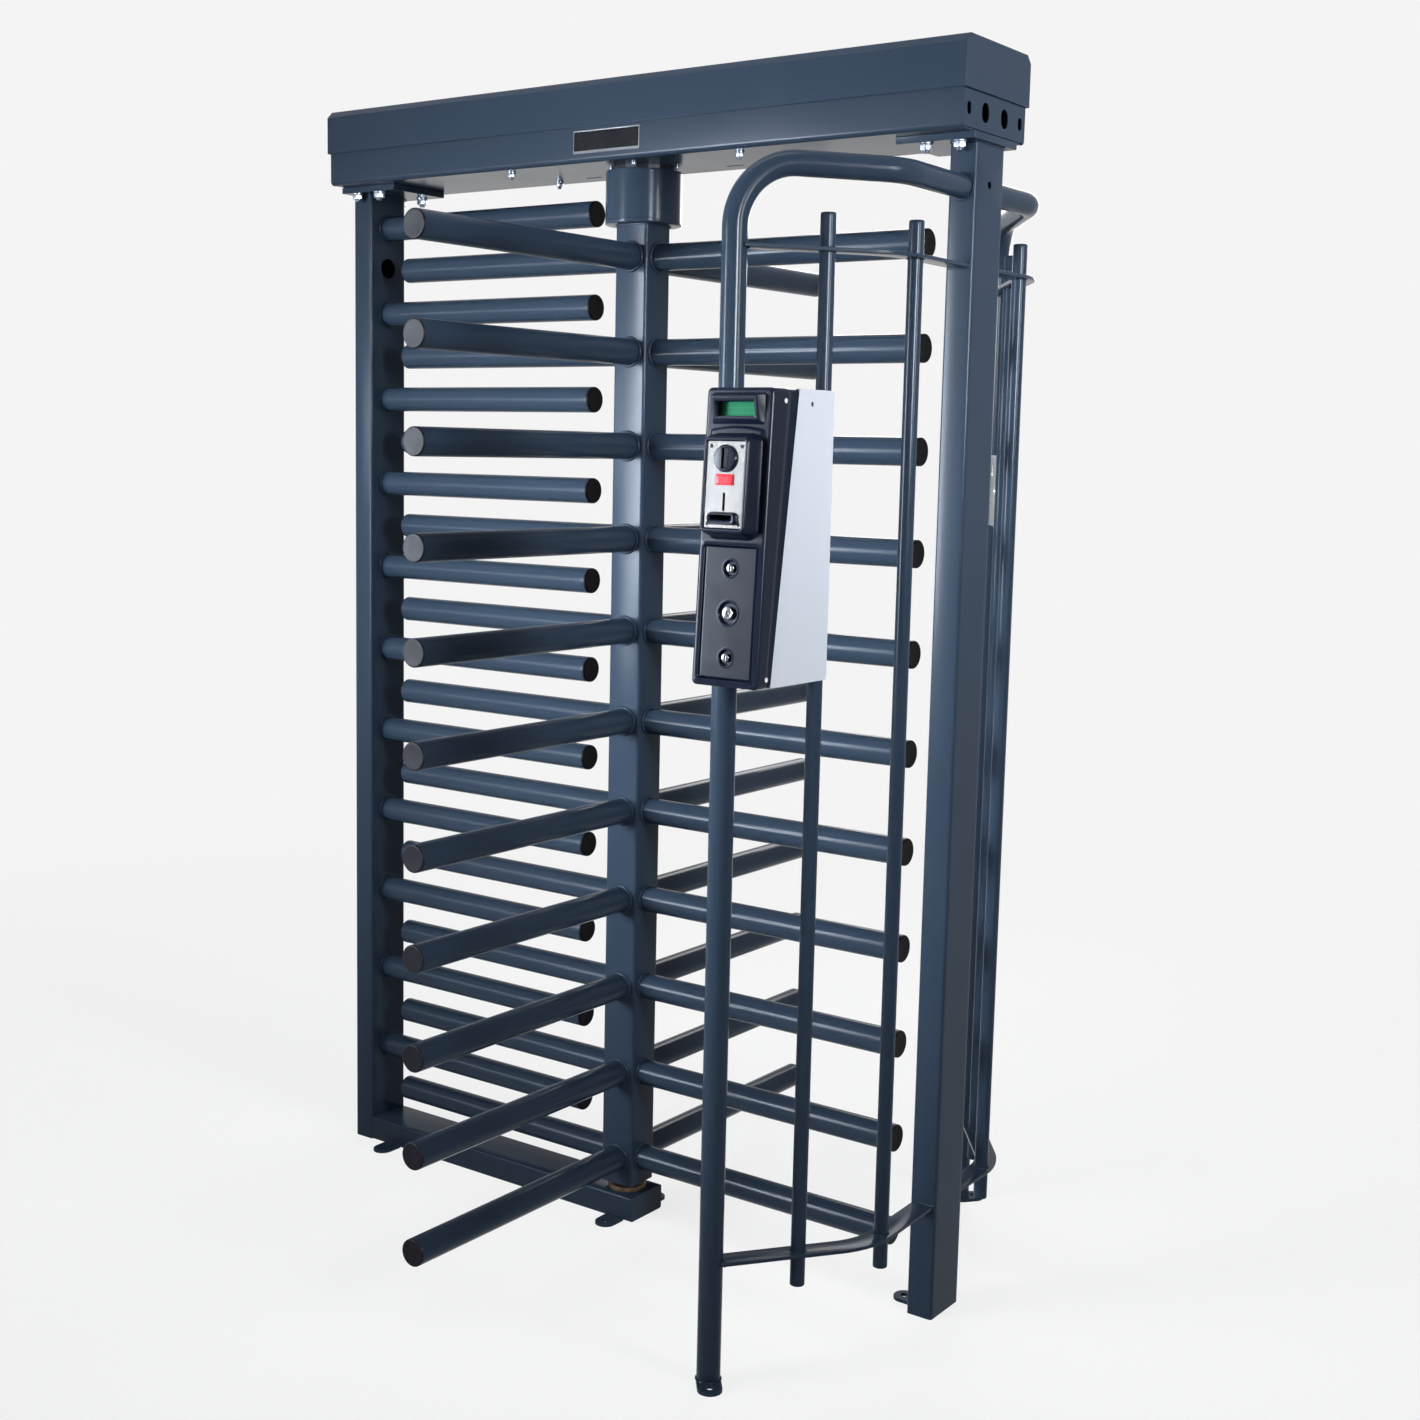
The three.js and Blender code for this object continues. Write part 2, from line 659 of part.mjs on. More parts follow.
// Bolt places of one head plate, measured from the beam's middle along X
function headBoltPlaces() {
  const outer = postOuter + HEAD_PLATE_OUTER_LIP - HEAD_BOLT_INSET;
  const places = [];
  for (const x of [outer, outer - HEAD_BOLT_SPACING_X]) {
    for (const deep of [-1, 1]) {
      places.push([x, (deep * HEAD_BOLT_SPACING_Y) / 2]);
    }
  }
  return places;
}

function makeHeadPlates() {
  const outer = postOuter + HEAD_PLATE_OUTER_LIP;
  const side = HEAD_PLATE_DEPTH / 2;
  for (const [name, sign] of [['left_head_plate', -1], ['right_head_plate', 1]]) {
    const ends = [sign * (outer - HEAD_PLATE_WIDTH), sign * outer].sort((a, b) => a - b);
    const plate = solid(block(ends[0], ends[1], -side, side, POST_HEIGHT, beamBase));
    const holes = headBoltPlaces().map(([x, y]) =>
      rod('z', HEAD_BOLT_HOLE_RADIUS, POST_HEIGHT - OVERRUN, beamBase + OVERRUN, sign * x, y, BORE_SIDES));
    part(name, geometryOf(cut(plate, ...holes)), paint);
  }
}

// Arms and comb bars: a round tube along X with a plug in its outer end

function armOuter(start, end) {
  const straight = Math.abs(end - start) - PLUG_EDGE;
  const profile = [
    [0, 0],
    [armRadius, 0],
    [armRadius, straight],
    [armRadius - PLUG_EDGE, straight + PLUG_EDGE],
    [0, straight + PLUG_EDGE],
  ];
  const points = profile.map(([radius, height]) => new THREE.Vector2(radius, height));
  const geometry = new THREE.LatheGeometry(points, ARM_SIDES).rotateX(Math.PI / 2);
  return along('x', geometry).translate(start, 0, 0);
}

function armBore(start, end) {
  return rod('x', armRadius - ARM_WALL, start, end - PLUG_LENGTH, 0, 0, BORE_SIDES);
}

function makeComb() {
  const length = postInner - COMB_CLEARANCE;
  const bar = geometryOf(cut(solid(armOuter(0, length)), armBore(-OVERRUN, length)));
  for (let i = 0; i < ARM_COUNT; i += 1) {
    const number = String(i + 1).padStart(2, '0');
    const height = LOWEST_ARM_HEIGHT + (i + 1 / 2) * armPitch;
    part(`comb_bar_${number}`, bar.clone(), paint).position.set(-postInner, 0, height);
  }
}

// Rotor: the column and its 44 arms, welded into one piece. The arms' bores open into the column.
function makeRotor() {
  const half = COLUMN_SIZE / 2;
  const outline = roundedRectangle(-half, half, -half, half, COLUMN_CORNER, CORNER_STEPS);
  const inner = half - COLUMN_WALL;
  let outside = solid(prism('z', outline, columnBottom, columnTop));
  const floor = columnBottom + COLUMN_END_WALL;
  let inside = solid(block(-inner, inner, -inner, inner, floor, columnTop + OVERRUN));
  const arm = armOuter(inner, ARM_REACH);
  const bore = armBore(inner - OVERRUN, ARM_REACH);
  for (let wing = 0; wing < WING_COUNT; wing += 1) {
    const angle = (wing / WING_COUNT) * 2 * Math.PI;
    for (let i = 0; i < ARM_COUNT; i += 1) {
      const height = LOWEST_ARM_HEIGHT + i * armPitch;
      outside = outside.add(solid(arm.clone().rotateZ(angle).translate(0, 0, height)));
      inside = inside.add(solid(bore.clone().rotateZ(angle).translate(0, 0, height)));
    }
  }
  const bushHole = rod(
    'z',
    bushBore + FOOT_BUSH_WALL + FIT,
    columnBottom - OVERRUN,
    columnBottom + COLUMN_END_WALL + OVERRUN,
    0,
    0,
    TURNED_SIDES,
  );
  part('rotor', geometryOf(cut(outside.subtract(inside), bushHole)), paint);
}

// Foot pivot: a pin in the rail, a thrust washer on the rail and a flanged bush in the column
function makeFootPivot() {
  const pinTop = RAIL_HEIGHT + FOOT_PIN_REACH;
  const head = FOOT_PIN_RADIUS + FOOT_BUSH_WALL;
  const underside = RAIL_HEIGHT - POST_WALL - FIT;
  const pin = turned([
    [0, underside - FOOT_PIN_HEAD],
    [head, underside - FOOT_PIN_HEAD],
    [head, underside],
    [FOOT_PIN_RADIUS, underside],
    [FOOT_PIN_RADIUS, pinTop],
    [0, pinTop],
  ]);
  part('foot_pin', pin, steel);

  const pinHole = FOOT_PIN_RADIUS + FIT;
  const washer = turned([
    [pinHole, RAIL_HEIGHT],
    [FOOT_WASHER_RADIUS, RAIL_HEIGHT],
    [FOOT_WASHER_RADIUS, washerTop],
    [pinHole, washerTop],
  ]);
  part('foot_thrust_washer', washer, bronze);

  const sleeve = bushBore + FOOT_BUSH_WALL;
  const bottom = washerTop + FIT;
  const flangeTop = bottom + FOOT_BUSH_FLANGE;
  const bush = turned([
    [bushBore, bottom],
    [sleeve + FOOT_BUSH_FLANGE, bottom],
    [sleeve + FOOT_BUSH_FLANGE, flangeTop],
    [sleeve, flangeTop],
    [sleeve, columnBottom + COLUMN_END_WALL],
    [bushBore, columnBottom + COLUMN_END_WALL],
  ]);
  part('foot_bush', bush, bronze);
}

// Hub cup on the column, with the shaft that stands in it
function makeHub() {
  const bore = CUP_RADIUS - CUP_WALL;
  const floorTop = columnTop + CUP_FLOOR;
  const cup = turned([
    [0, columnTop],
    [CUP_RADIUS, columnTop],
    [CUP_RADIUS, cupTop],
    [bore, cupTop],
    [bore, floorTop],
    [0, floorTop],
  ], CUP_SIDES);
  part('hub_cup', cup, paint);

  const flangeTop = shaftBottom + SHAFT_FLANGE_THICKNESS;
  const discSeat = plateTop + DISC_LIFT - FIT;
  const shoulder = discSeat - SHAFT_SHOULDER_THICKNESS;
  const shaft = turned([
    [0, shaftBottom],
    [SHAFT_FLANGE_RADIUS, shaftBottom],
    [SHAFT_FLANGE_RADIUS, flangeTop],
    [SHAFT_RADIUS, flangeTop],
    [SHAFT_RADIUS, shoulder],
    [SHAFT_SHOULDER_RADIUS, shoulder],
    [SHAFT_SHOULDER_RADIUS, discSeat],
    [SHAFT_TIP_RADIUS, discSeat],
    [SHAFT_TIP_RADIUS, discSeat + SHAFT_TIP_LENGTH],
    [0, discSeat + SHAFT_TIP_LENGTH],
  ]);
  part('rotor_shaft', shaft, steel);
}

// Upper bearing: a flanged housing through the tray's floor and a ball bearing in it
function makeUpperBearing() {
  const flangeBottom = beamBase - BEARING_FLANGE_THICKNESS;
  const spigotTop = beamBase + BEARING_SPIGOT_HEIGHT;
  const lipBore = SHAFT_RADIUS + BEARING_LIP;
  const lipTop = flangeBottom + BEARING_LIP;
  const seat = BEARING_RADIUS + FIT;
  const housing = turned([
    [lipBore, flangeBottom],
    [BEARING_FLANGE_RADIUS, flangeBottom],
    [BEARING_FLANGE_RADIUS, beamBase],
    [BEARING_SPIGOT_RADIUS, beamBase],
    [BEARING_SPIGOT_RADIUS, spigotTop],
    [seat, spigotTop],
    [seat, lipTop],
    [lipBore, lipTop],
  ]);
  part('bearing_housing', housing, steel);

  const bore = cornersRound(SHAFT_RADIUS + FIT, TURNED_SIDES);
  const bottom = lipTop + FIT;
  const bearing = turned([
    [bore, bottom],
    [BEARING_RADIUS, bottom],
    [BEARING_RADIUS, bottom + BEARING_WIDTH],
    [bore, bottom + BEARING_WIDTH],
  ]);
  part('top_bearing', bearing, steel);
}

// Head beam tray: a folded channel with closed ends. Its end walls reach up to carry the lid.
function makeTray() {
  const channel = (side, base, radius) => {
    const outline = roundedRectangle(-side, side, base, trayRim + radius, radius, TRAY_BEND_STEPS);
    return outline.map(([y, z]) => [y, Math.min(z, trayRim)]);
  };
  const outside = prism('x', channel(traySide, beamBase, TRAY_BEND), -trayEnd, trayEnd);
  const innerBend = TRAY_BEND - TRAY_SHEET;
  const innerSide = traySide - TRAY_SHEET;
  const innerEnd = trayEnd - TRAY_SHEET;
  const innerOutline = roundedRectangle(
    -innerSide,
    innerSide,
    trayFloor,
    trayRim + TRAY_BEND + OVERRUN,
    innerBend,
    TRAY_BEND_STEPS,
  );
  const inside = prism('x', innerOutline, -innerEnd, innerEnd);
  const seatSide = BEAM_DEPTH / 2 - LID_CHAMFER - 2 * LID_SHEET;
  const seatTop = beamTop - LID_SHEET - FIT;
  const seats = [-1, 1].map((sign) => {
    const ends = [sign * innerEnd, sign * trayEnd].sort((a, b) => a - b);
    return block(ends[0], ends[1], -seatSide, seatSide, trayRim - OVERRUN, seatTop);
  });

  const holes = [];
  const holeHeight = beamBase + END_HOLE_HEIGHT;
  for (const side of [-1, 1]) {
    const slots = [
      [END_HOLE_INNER, END_HOLE_LARGE_RADIUS, END_HOLE_LARGE_LENGTH],
      [END_HOLE_OUTER, END_HOLE_SMALL_RADIUS, END_HOLE_SMALL_LENGTH],
    ];
    for (const [place, radius, length] of slots) {
      const outline = slotOutline(side * place, holeHeight, radius, length);
      holes.push(prism('x', outline, -trayEnd - OVERRUN, trayEnd + OVERRUN));
    }
  }
  const drill = (radius, x, y, sides) =>
    rod('z', radius, beamBase - OVERRUN, trayFloor + OVERRUN, x, y, sides);
  holes.push(drill(BEARING_SPIGOT_RADIUS + FIT, 0, 0, TURNED_SIDES));
  for (const sign of [-1, 1]) {
    for (const [x, y] of headBoltPlaces()) {
      holes.push(drill(HEAD_BOLT_HOLE_RADIUS, sign * x, y, BORE_SIDES));
    }
    for (const y of [-PLATE_FOOT_Y, PLATE_FOOT_Y]) {
      holes.push(drill(PLATE_FOOT_BOLT_RADIUS, sign * PLATE_FOOT_X, y, BORE_SIDES));
    }
    const half = FLOOR_SLOT_LENGTH / 2;
    const slot = roundedRectangle(
      sign * FLOOR_SLOT_X - half,
      sign * FLOOR_SLOT_X + half,
      FLOOR_SLOT_Y - FLOOR_SLOT_RADIUS,
      FLOOR_SLOT_Y + FLOOR_SLOT_RADIUS,
      FLOOR_SLOT_RADIUS,
      CORNER_STEPS,
    );
    holes.push(prism('z', slot, beamBase - OVERRUN, trayFloor + OVERRUN));
  }
  const shell = join(outside, ...seats).subtract(solid(inside));
  part('beam_tray', geometryOf(cut(shell, ...holes)), paint);
}

// Lid: a folded cover with a chamfer along both upper edges, open below
function makeLid() {
  const bottom = beamTop - LID_HEIGHT;
  const outline = (side, top, chamfer, base) => [
    [-side, base],
    [side, base],
    [side, top - chamfer],
    [side - chamfer, top],
    [chamfer - side, top],
    [-side, top - chamfer],
  ];
  const side = BEAM_DEPTH / 2;
  const innerChamfer = LID_CHAMFER - LID_SHEET * (2 - Math.SQRT2);
  const outside = solid(prism('x', outline(side, beamTop, LID_CHAMFER, bottom), -beamEnd, beamEnd));
  const innerOutline = outline(side - LID_SHEET, beamTop - LID_SHEET, innerChamfer, bottom - OVERRUN);
  const inside = prism('x', innerOutline, LID_SHEET - beamEnd, beamEnd - LID_SHEET);
  part('beam_lid', geometryOf(cut(outside, inside)), paint);
}

// Lock: a notched disc on the shaft, two pawls on a plate and a solenoid that pushes each pawl

const discBottom = plateTop + DISC_LIFT;
const pawlNose = DISC_RADIUS + PAWL_NOSE_GAP;
const pawlBack = pawlNose + PAWL_HEAD;

function makeMechanismPlate() {
  const x = PLATE_LENGTH / 2;
  const y = PLATE_DEPTH / 2;
  const bottom = plateTop - PLATE_THICKNESS;
  const pieces = [];
  for (const sign of [-1, 1]) {
    for (const footY of [-PLATE_FOOT_Y, PLATE_FOOT_Y]) {
      pieces.push(rod('z', PLATE_FOOT_RADIUS, trayFloor, bottom + FIT, sign * PLATE_FOOT_X, footY));
    }
    const pinTop = discBottom + DISC_THICKNESS + PAWL_PIN_HEAD;
    pieces.push(rod('z', PAWL_PIN_RADIUS, bottom, pinTop, sign * PAWL_PIVOT_X, sign * PAWL_PIVOT_Y));
  }
  const plate = join(block(-x, x, -y, y, bottom, plateTop), ...pieces);
  const ends = [bottom - OVERRUN, plateTop + OVERRUN];
  const bore = rod('z', SHAFT_SHOULDER_RADIUS + PLATE_BORE_GAP, ...ends, 0, 0, TURNED_SIDES);
  part('mechanism_plate', geometryOf(cut(plate, bore)), zinc);
}

function makeLockDisc() {
  const bottom = discBottom;
  const top = bottom + DISC_THICKNESS;
  const disc = solid(rod('z', DISC_RADIUS, bottom, top, 0, 0, 2 * TURNED_SIDES));
  const tools = [rod('z', SHAFT_TIP_RADIUS + FIT, bottom - OVERRUN, top + OVERRUN, 0, 0, TURNED_SIDES)];
  for (let wing = 0; wing < WING_COUNT; wing += 1) {
    const angle = (wing / WING_COUNT) * 2 * Math.PI;
    const half = NOTCH_WIDTH / 2;
    const inner = DISC_RADIUS - NOTCH_DEPTH;
    const notch = block(inner, DISC_RADIUS + OVERRUN, -half, half, bottom - OVERRUN, top + OVERRUN);
    tools.push(notch.rotateZ(angle));
    const holeAngle = angle + Math.PI / WING_COUNT;
    const holeX = DISC_HOLE_CIRCLE * Math.cos(holeAngle);
    const holeY = DISC_HOLE_CIRCLE * Math.sin(holeAngle);
    tools.push(rod('z', DISC_HOLE_RADIUS, bottom - OVERRUN, top + OVERRUN, holeX, holeY));
  }
  part('lock_disc', geometryOf(cut(disc, ...tools)), steel);
}

// The pawl's arm bows round the disc from its pivot to the nose, which faces a notch
function makePawls() {
  const low = discBottom;
  const high = discBottom + DISC_THICKNESS;
  const half = PAWL_WIDTH / 2;
  const bow = pawlNose + PAWL_BOW;
  const shoulder = pawlNose + PAWL_NOSE_LENGTH;
  const outline = [
    [PAWL_PIVOT_X - half, PAWL_PIVOT_Y],
    [PAWL_PIVOT_X + half, PAWL_PIVOT_Y - half],
    [bow + half / 2, PAWL_PIVOT_Y / 2],
    [pawlBack, -PAWL_NOSE_WIDTH],
    [pawlBack, PAWL_NOSE_WIDTH],
    [shoulder, PAWL_NOSE_WIDTH],
    [shoulder, PAWL_NOSE_WIDTH / 2],
    [pawlNose, PAWL_NOSE_WIDTH / 2],
    [pawlNose, -PAWL_NOSE_WIDTH / 2],
    [shoulder, -PAWL_NOSE_WIDTH / 2],
    [bow - half, -PAWL_WIDTH],
    [bow - PAWL_WIDTH, PAWL_PIVOT_Y / 2],
  ];
  const hubBottom = plateTop + FIT;
  const hub = rod('z', PAWL_HUB_RADIUS, hubBottom, high, PAWL_PIVOT_X, PAWL_PIVOT_Y);
  const bore = rod(
    'z',
    cornersRound(PAWL_PIN_RADIUS + FIT, ROD_SIDES),
    hubBottom - OVERRUN,
    high + OVERRUN,
    PAWL_PIVOT_X,
    PAWL_PIVOT_Y,
  );
  const pawl = geometryOf(cut(join(prism('z', outline, low, high), hub), bore));
  part('pawl_right', pawl, steel);
  part('pawl_left', pawl.clone().rotateZ(Math.PI), steel);
}

// The coil's case stands on the plate behind the pawl, with its plunger on the pawl's height
function makeSolenoids() {
  const half = SOLENOID_SIZE / 2;
  const axisHeight = plateTop + half;
  const caseStart = pawlBack + SOLENOID_STANDOFF;
  const caseEnd = caseStart + SOLENOID_LENGTH;
  const boreEnd = caseStart + SOLENOID_BORE_DEPTH;
  const body = solid(block(caseStart, caseEnd, -half, half, plateTop, plateTop + SOLENOID_SIZE));
  const bore = rod('x', PLUNGER_RADIUS + FIT, caseStart - OVERRUN, boreEnd, 0, axisHeight);
  const coil = geometryOf(cut(body, bore));
  part('solenoid_right', coil, zinc);
  part('solenoid_left', coil.clone().rotateZ(Math.PI), zinc);

  const start = pawlBack + FIT;
  const end = boreEnd - PLUNGER_END_GAP;
  const points = [
    [0, start],
    [PLUNGER_RADIUS - PLUNGER_TIP_EDGE, start],
    [PLUNGER_RADIUS, start + PLUNGER_TIP_EDGE],
    [PLUNGER_RADIUS, end],
    [0, end],
  ];
  const plunger = along('x', turned(points, ROD_SIDES)).translate(0, 0, axisHeight);
  part('plunger_right', plunger, steel);
  part('plunger_left', plunger.clone().rotateZ(Math.PI), steel);
}

// Control board: a printed board on four posts, with a transformer, two cans and a terminal strip
function makeControlBoard() {
  const x0 = BOARD_END_GAP - trayEnd;
  const x1 = x0 + BOARD_LENGTH;
  const y = BOARD_DEPTH / 2;
  const bottom = trayFloor + BOARD_POST_HEIGHT;
  const top = bottom + BOARD_THICKNESS;
  const posts = [];
  for (const px of [x0 + BOARD_POST_INSET, x1 - BOARD_POST_INSET]) {
    for (const py of [BOARD_POST_INSET - y, y - BOARD_POST_INSET]) {
      posts.push(rod('z', BOARD_POST_RADIUS, trayFloor, bottom + FIT, px, py, BORE_SIDES));
    }
  }
  const partStart = x0 + BOARD_POST_INSET * 2;
  const partEnd = partStart + BOARD_PART_LENGTH;
  const half = BOARD_PART_DEPTH / 2;
  const cans = [-1, 1].map((sign) => {
    const canX = partEnd + 2 * BOARD_CAN_RADIUS;
    return rod('z', BOARD_CAN_RADIUS, bottom, top + BOARD_CAN_HEIGHT, canX, sign * 2 * BOARD_CAN_RADIUS);
  });
  const board = join(
    block(x0, x1, -y, y, bottom, top),
    ...posts,
    ...cans,
    block(partStart, partEnd, -half, half, bottom, top + BOARD_PART_HEIGHT),
    block(
      partEnd,
      x1 - 2 * BOARD_POST_INSET,
      y - 2 * BOARD_TERMINAL_DEPTH,
      y - BOARD_TERMINAL_DEPTH,
      bottom,
      top + BOARD_TERMINAL_HEIGHT,
    ),
  );
  part('control_board', geometryOf(board), boardGreen);
}

// One side of the cage. The tube rises from its leg, runs to the knee and on to the post.

function cageRoute(legX, legY, kneeX, kneeY) {
  const side = Math.sign(kneeY);
  return {
    leg: new THREE.Vector3(legX, legY, 0),
    knee: new THREE.Vector3(kneeX, kneeY, 0),
    face: new THREE.Vector3(postMiddle, side * postFace, 0),
    past: new THREE.Vector3(postMiddle, side * (postFace - OVERRUN), 0),
    side,
  };
}

// Where a bar stands: 0 at the leg, 1 at the knee, 2 at the post
function barPlace(route, share) {
  if (share <= 1) {
    return route.leg.clone().lerp(route.knee, share);
  }
  return route.knee.clone().lerp(route.face, share - 1);
}

// Everything behind the post's face, to cut what is welded to it
function postSide(route) {
  const near = route.side * postFace;
  const far = route.side * (postFace - POST_DEPTH / 2);
  const [y0, y1] = [near, far].sort((a, b) => a - b);
  return block(postMiddle - POST_DEPTH, postMiddle + POST_DEPTH, y0, y1, -OVERRUN, beamTop);
}

function makeHoop(name, route) {
  const up = new THREE.Vector3(0, 0, hoopTop);
  const corners = [
    route.leg.clone(),
    route.leg.clone().add(up),
    route.knee.clone().add(up),
    route.past.clone().add(up),
  ];
  const bends = [
    { radius: HOOP_BEND, steps: HOOP_BEND_STEPS },
    { radius: HOOP_BEND, steps: HOOP_KNEE_STEPS },
  ];
  const path = bentPath(corners, bends);
  const tube = solid(sweep(path, HOOP_RADIUS, HOOP_WALL, HOOP_SIDES));
  const outward = route.side * THREE.MathUtils.degToRad(HOOP_LUG_ANGLE);
  const foot = lug(route.leg.x, route.leg.y, outward, 0);
  part(name, geometryOf(tube.add(solid(foot)).subtract(solid(postSide(route)))), paint);
}

// The band's outline runs along both sides of a bent centre line
function makeBand(name, route, height, barShares) {
  const bend = [{ radius: BAND_BEND, steps: BAND_BEND_STEPS }];
  const start = route.knee.clone().sub(route.leg).setLength(HOOP_RADIUS / 2).add(route.leg);
  const path = bentPath([start, route.knee, route.past], bend);
  const up = new THREE.Vector3(0, 0, 1);
  const outer = [];
  const inner = [];
  path.stations.forEach((station, i) => {
    const across = new THREE.Vector3().crossVectors(path.directions[i], up).multiplyScalar(BAND_WIDTH / 2);
    const near = station.clone().add(across);
    const far = station.clone().sub(across);
    outer.push([near.x, near.y]);
    inner.unshift([far.x, far.y]);
  });
  const bottom = height - BAND_THICKNESS / 2;
  const top = height + BAND_THICKNESS / 2;
  const tools = barShares.map((share) => {
    const place = barPlace(route, share);
    return rod('z', CAGE_BAR_RADIUS + FIT, bottom - OVERRUN, top + OVERRUN, place.x, place.y, BAR_SIDES);
  });
  const saddle = cornersRound(HOOP_RADIUS + FIT, HOOP_SIDES);
  tools.push(rod('z', saddle, bottom - OVERRUN, top + OVERRUN, route.leg.x, route.leg.y, HOOP_SIDES));
  const band = solid(prism('z', [...outer, ...inner], bottom, top));
  part(name, geometryOf(cut(band, ...tools, postSide(route))), paint);
}

function makeCageBar(name, route, share) {
  const place = barPlace(route, share);
  const bottom = LOWER_BAND_HEIGHT - CAGE_BAR_OVERHANG;
  const top = upperBandHeight + CAGE_BAR_OVERHANG;
  const bar = turned([
    [0, bottom],
    [CAGE_BAR_RADIUS, bottom],
    [CAGE_BAR_RADIUS, top - CAGE_BAR_TOP_EDGE],
    [CAGE_BAR_RADIUS - CAGE_BAR_TOP_EDGE, top],
    [0, top],
  ], BAR_SIDES);
  const inner = CAGE_BAR_RADIUS - CAGE_BAR_WALL;
  const bore = rod('z', inner, bottom - OVERRUN, top - CAGE_BAR_PLUG, 0, 0, BORE_SIDES);
  part(name, geometryOf(cut(solid(bar), bore)), paint).position.set(place.x, place.y, 0);
}

function makeCage(side, route, barShares) {
  makeHoop(`${side}_hoop`, route);
  makeBand(`${side}_band_lower`, route, LOWER_BAND_HEIGHT, barShares);
  makeBand(`${side}_band_upper`, route, upperBandHeight, barShares);
  barShares.forEach((share, i) => makeCageBar(`${side}_cage_bar_${i + 1}`, route, share));
}

// Reader plate: a folded plate between the back leg and the first back bar, flanges to the inside
function makeReaderPlate(route) {
  const bar = barPlace(route, BACK_BAR_SHARES[0]);
  const run = bar.clone().sub(route.leg);
  const gap = run.length() - HOOP_RADIUS - CAGE_BAR_RADIUS;
  const length = gap - 2 * FIT;
  const half = length / 2;
  const low = -READER_PLATE_HEIGHT / 2;
  const high = READER_PLATE_HEIGHT / 2;
  const web = block(-half, half, -READER_PLATE_SHEET / 2, READER_PLATE_SHEET / 2, low, high);
  const flangeStart = READER_PLATE_SHEET / 2 - READER_PLATE_FLANGE;
  const flanges = [-1, 1].map((sign) => {
    const [x0, x1] = [sign * half, sign * (half - READER_PLATE_SHEET)].sort((a, b) => a - b);
    return block(x0, x1, flangeStart, 0, low, high);
  });
  const tools = [rod('y', READER_HOLE_RADIUS, -OVERRUN, OVERRUN, 0, 0)];
  for (const xShare of READER_SLOT_SHARES) {
    for (const zShare of READER_SLOT_SHARES) {
      const outline = slotOutline(
        xShare * length,
        zShare * READER_PLATE_HEIGHT,
        READER_SLOT_RADIUS,
        READER_SLOT_LENGTH,
      );
      tools.push(prism('y', outline, -OVERRUN, OVERRUN));
    }
  }
  const middle = route.leg.clone().addScaledVector(run.normalize(), HOOP_RADIUS + gap / 2);
  const plate = part('rear_reader_plate', geometryOf(cut(join(web, ...flanges), ...tools)), zinc);
  plate.rotation.z = Math.atan2(run.y, run.x);
  plate.position.set(middle.x, middle.y, hoopTop - READER_PLATE_DROP);
}

// Coin unit. Pieces on its sloping front are made upright and then leant back with it.

const unit = new THREE.Group();
const unitLeft = FRONT_LEG_X + HOOP_RADIUS + FIT;
const unitMiddle = UNIT_WIDTH / 2;
const unitBottom = hoopTop - UNIT_TOP_DROP - UNIT_HEIGHT;
unit.position.set(unitLeft, UNIT_FRONT_Y, unitBottom);
turnstile.add(unit);

const sloped = new THREE.Group();
sloped.rotation.x = -tilt;
unit.add(sloped);

function lean(geometry) {
  return geometry.rotateX(-tilt);
}

// Sheet-metal housing: closed at the back and sides, open at its sloping front
function makeUnitHousing() {
  const topFront = FRONT_LEAN + MOULDING_DEPTH_TOP + FIT;
  const bottomFront = MOULDING_DEPTH_BOTTOM + FIT;
  const outline = [[bottomFront, 0], [UNIT_DEPTH, 0], [UNIT_DEPTH, UNIT_HEIGHT], [topFront, UNIT_HEIGHT]];
  const back = UNIT_DEPTH - HOUSING_SHEET;
  const innerTop = UNIT_HEIGHT - HOUSING_SHEET;
  const hollow = block(HOUSING_SHEET, UNIT_WIDTH - HOUSING_SHEET, 0, back, HOUSING_SHEET, innerTop);
  const tools = [hollow];
  for (const share of CLAMP_SHARES) {
    for (const sign of [-1, 1]) {
      const y = FRONT_LEG_Y - UNIT_FRONT_Y + sign * clampArm;
      const height = share * UNIT_HEIGHT;
      const ends = [-OVERRUN, HOUSING_SHEET + OVERRUN];
      tools.push(rod('x', CLAMP_WIRE_RADIUS + FIT, ...ends, y, height, CLAMP_SIDES));
    }
  }
  const shell = cut(solid(prism('x', outline, 0, UNIT_WIDTH)), ...tools);
  part('coin_housing', geometryOf(shell), sheetGrey, unit);
}

// U bolts hold the housing to the front leg, through its left wall
const clampArm = HOOP_RADIUS + FIT + CLAMP_WIRE_RADIUS;

function makeClamps() {
  CLAMP_SHARES.forEach((share, i) => {
    const legX = -FIT - HOOP_RADIUS;
    const inside = HOUSING_SHEET + CLAMP_LEG;
    const corners = [
      new THREE.Vector3(inside, -clampArm, 0),
      new THREE.Vector3(legX - clampArm, -clampArm, 0),
      new THREE.Vector3(legX - clampArm, clampArm, 0),
      new THREE.Vector3(inside, clampArm, 0),
    ];
    const bend = { radius: clampArm - FIT / 2, steps: CLAMP_BEND_STEPS / 2 };
    const path = bentPath(corners, [bend, bend]);
    const wire = sweep(path, CLAMP_WIRE_RADIUS, CLAMP_WIRE_RADIUS, CLAMP_SIDES);
    const clamp = part(`unit_clamp_${i + 1}`, geometryOf(solid(wire)), zinc, unit);
    clamp.position.set(0, FRONT_LEG_Y - UNIT_FRONT_Y, share * UNIT_HEIGHT);
  });
}

// A rounded rectangle standing on the sloping front at a depth, as a ring of points
function frontRing(halfWidth, low, high, depth, corner) {
  const outline = roundedRectangle(
    unitMiddle - halfWidth,
    unitMiddle + halfWidth,
    low,
    high,
    corner,
    BEZEL_CORNER_STEPS,
  );
  return outline.map(([x, z]) => new THREE.Vector3(x, depth, z));
}

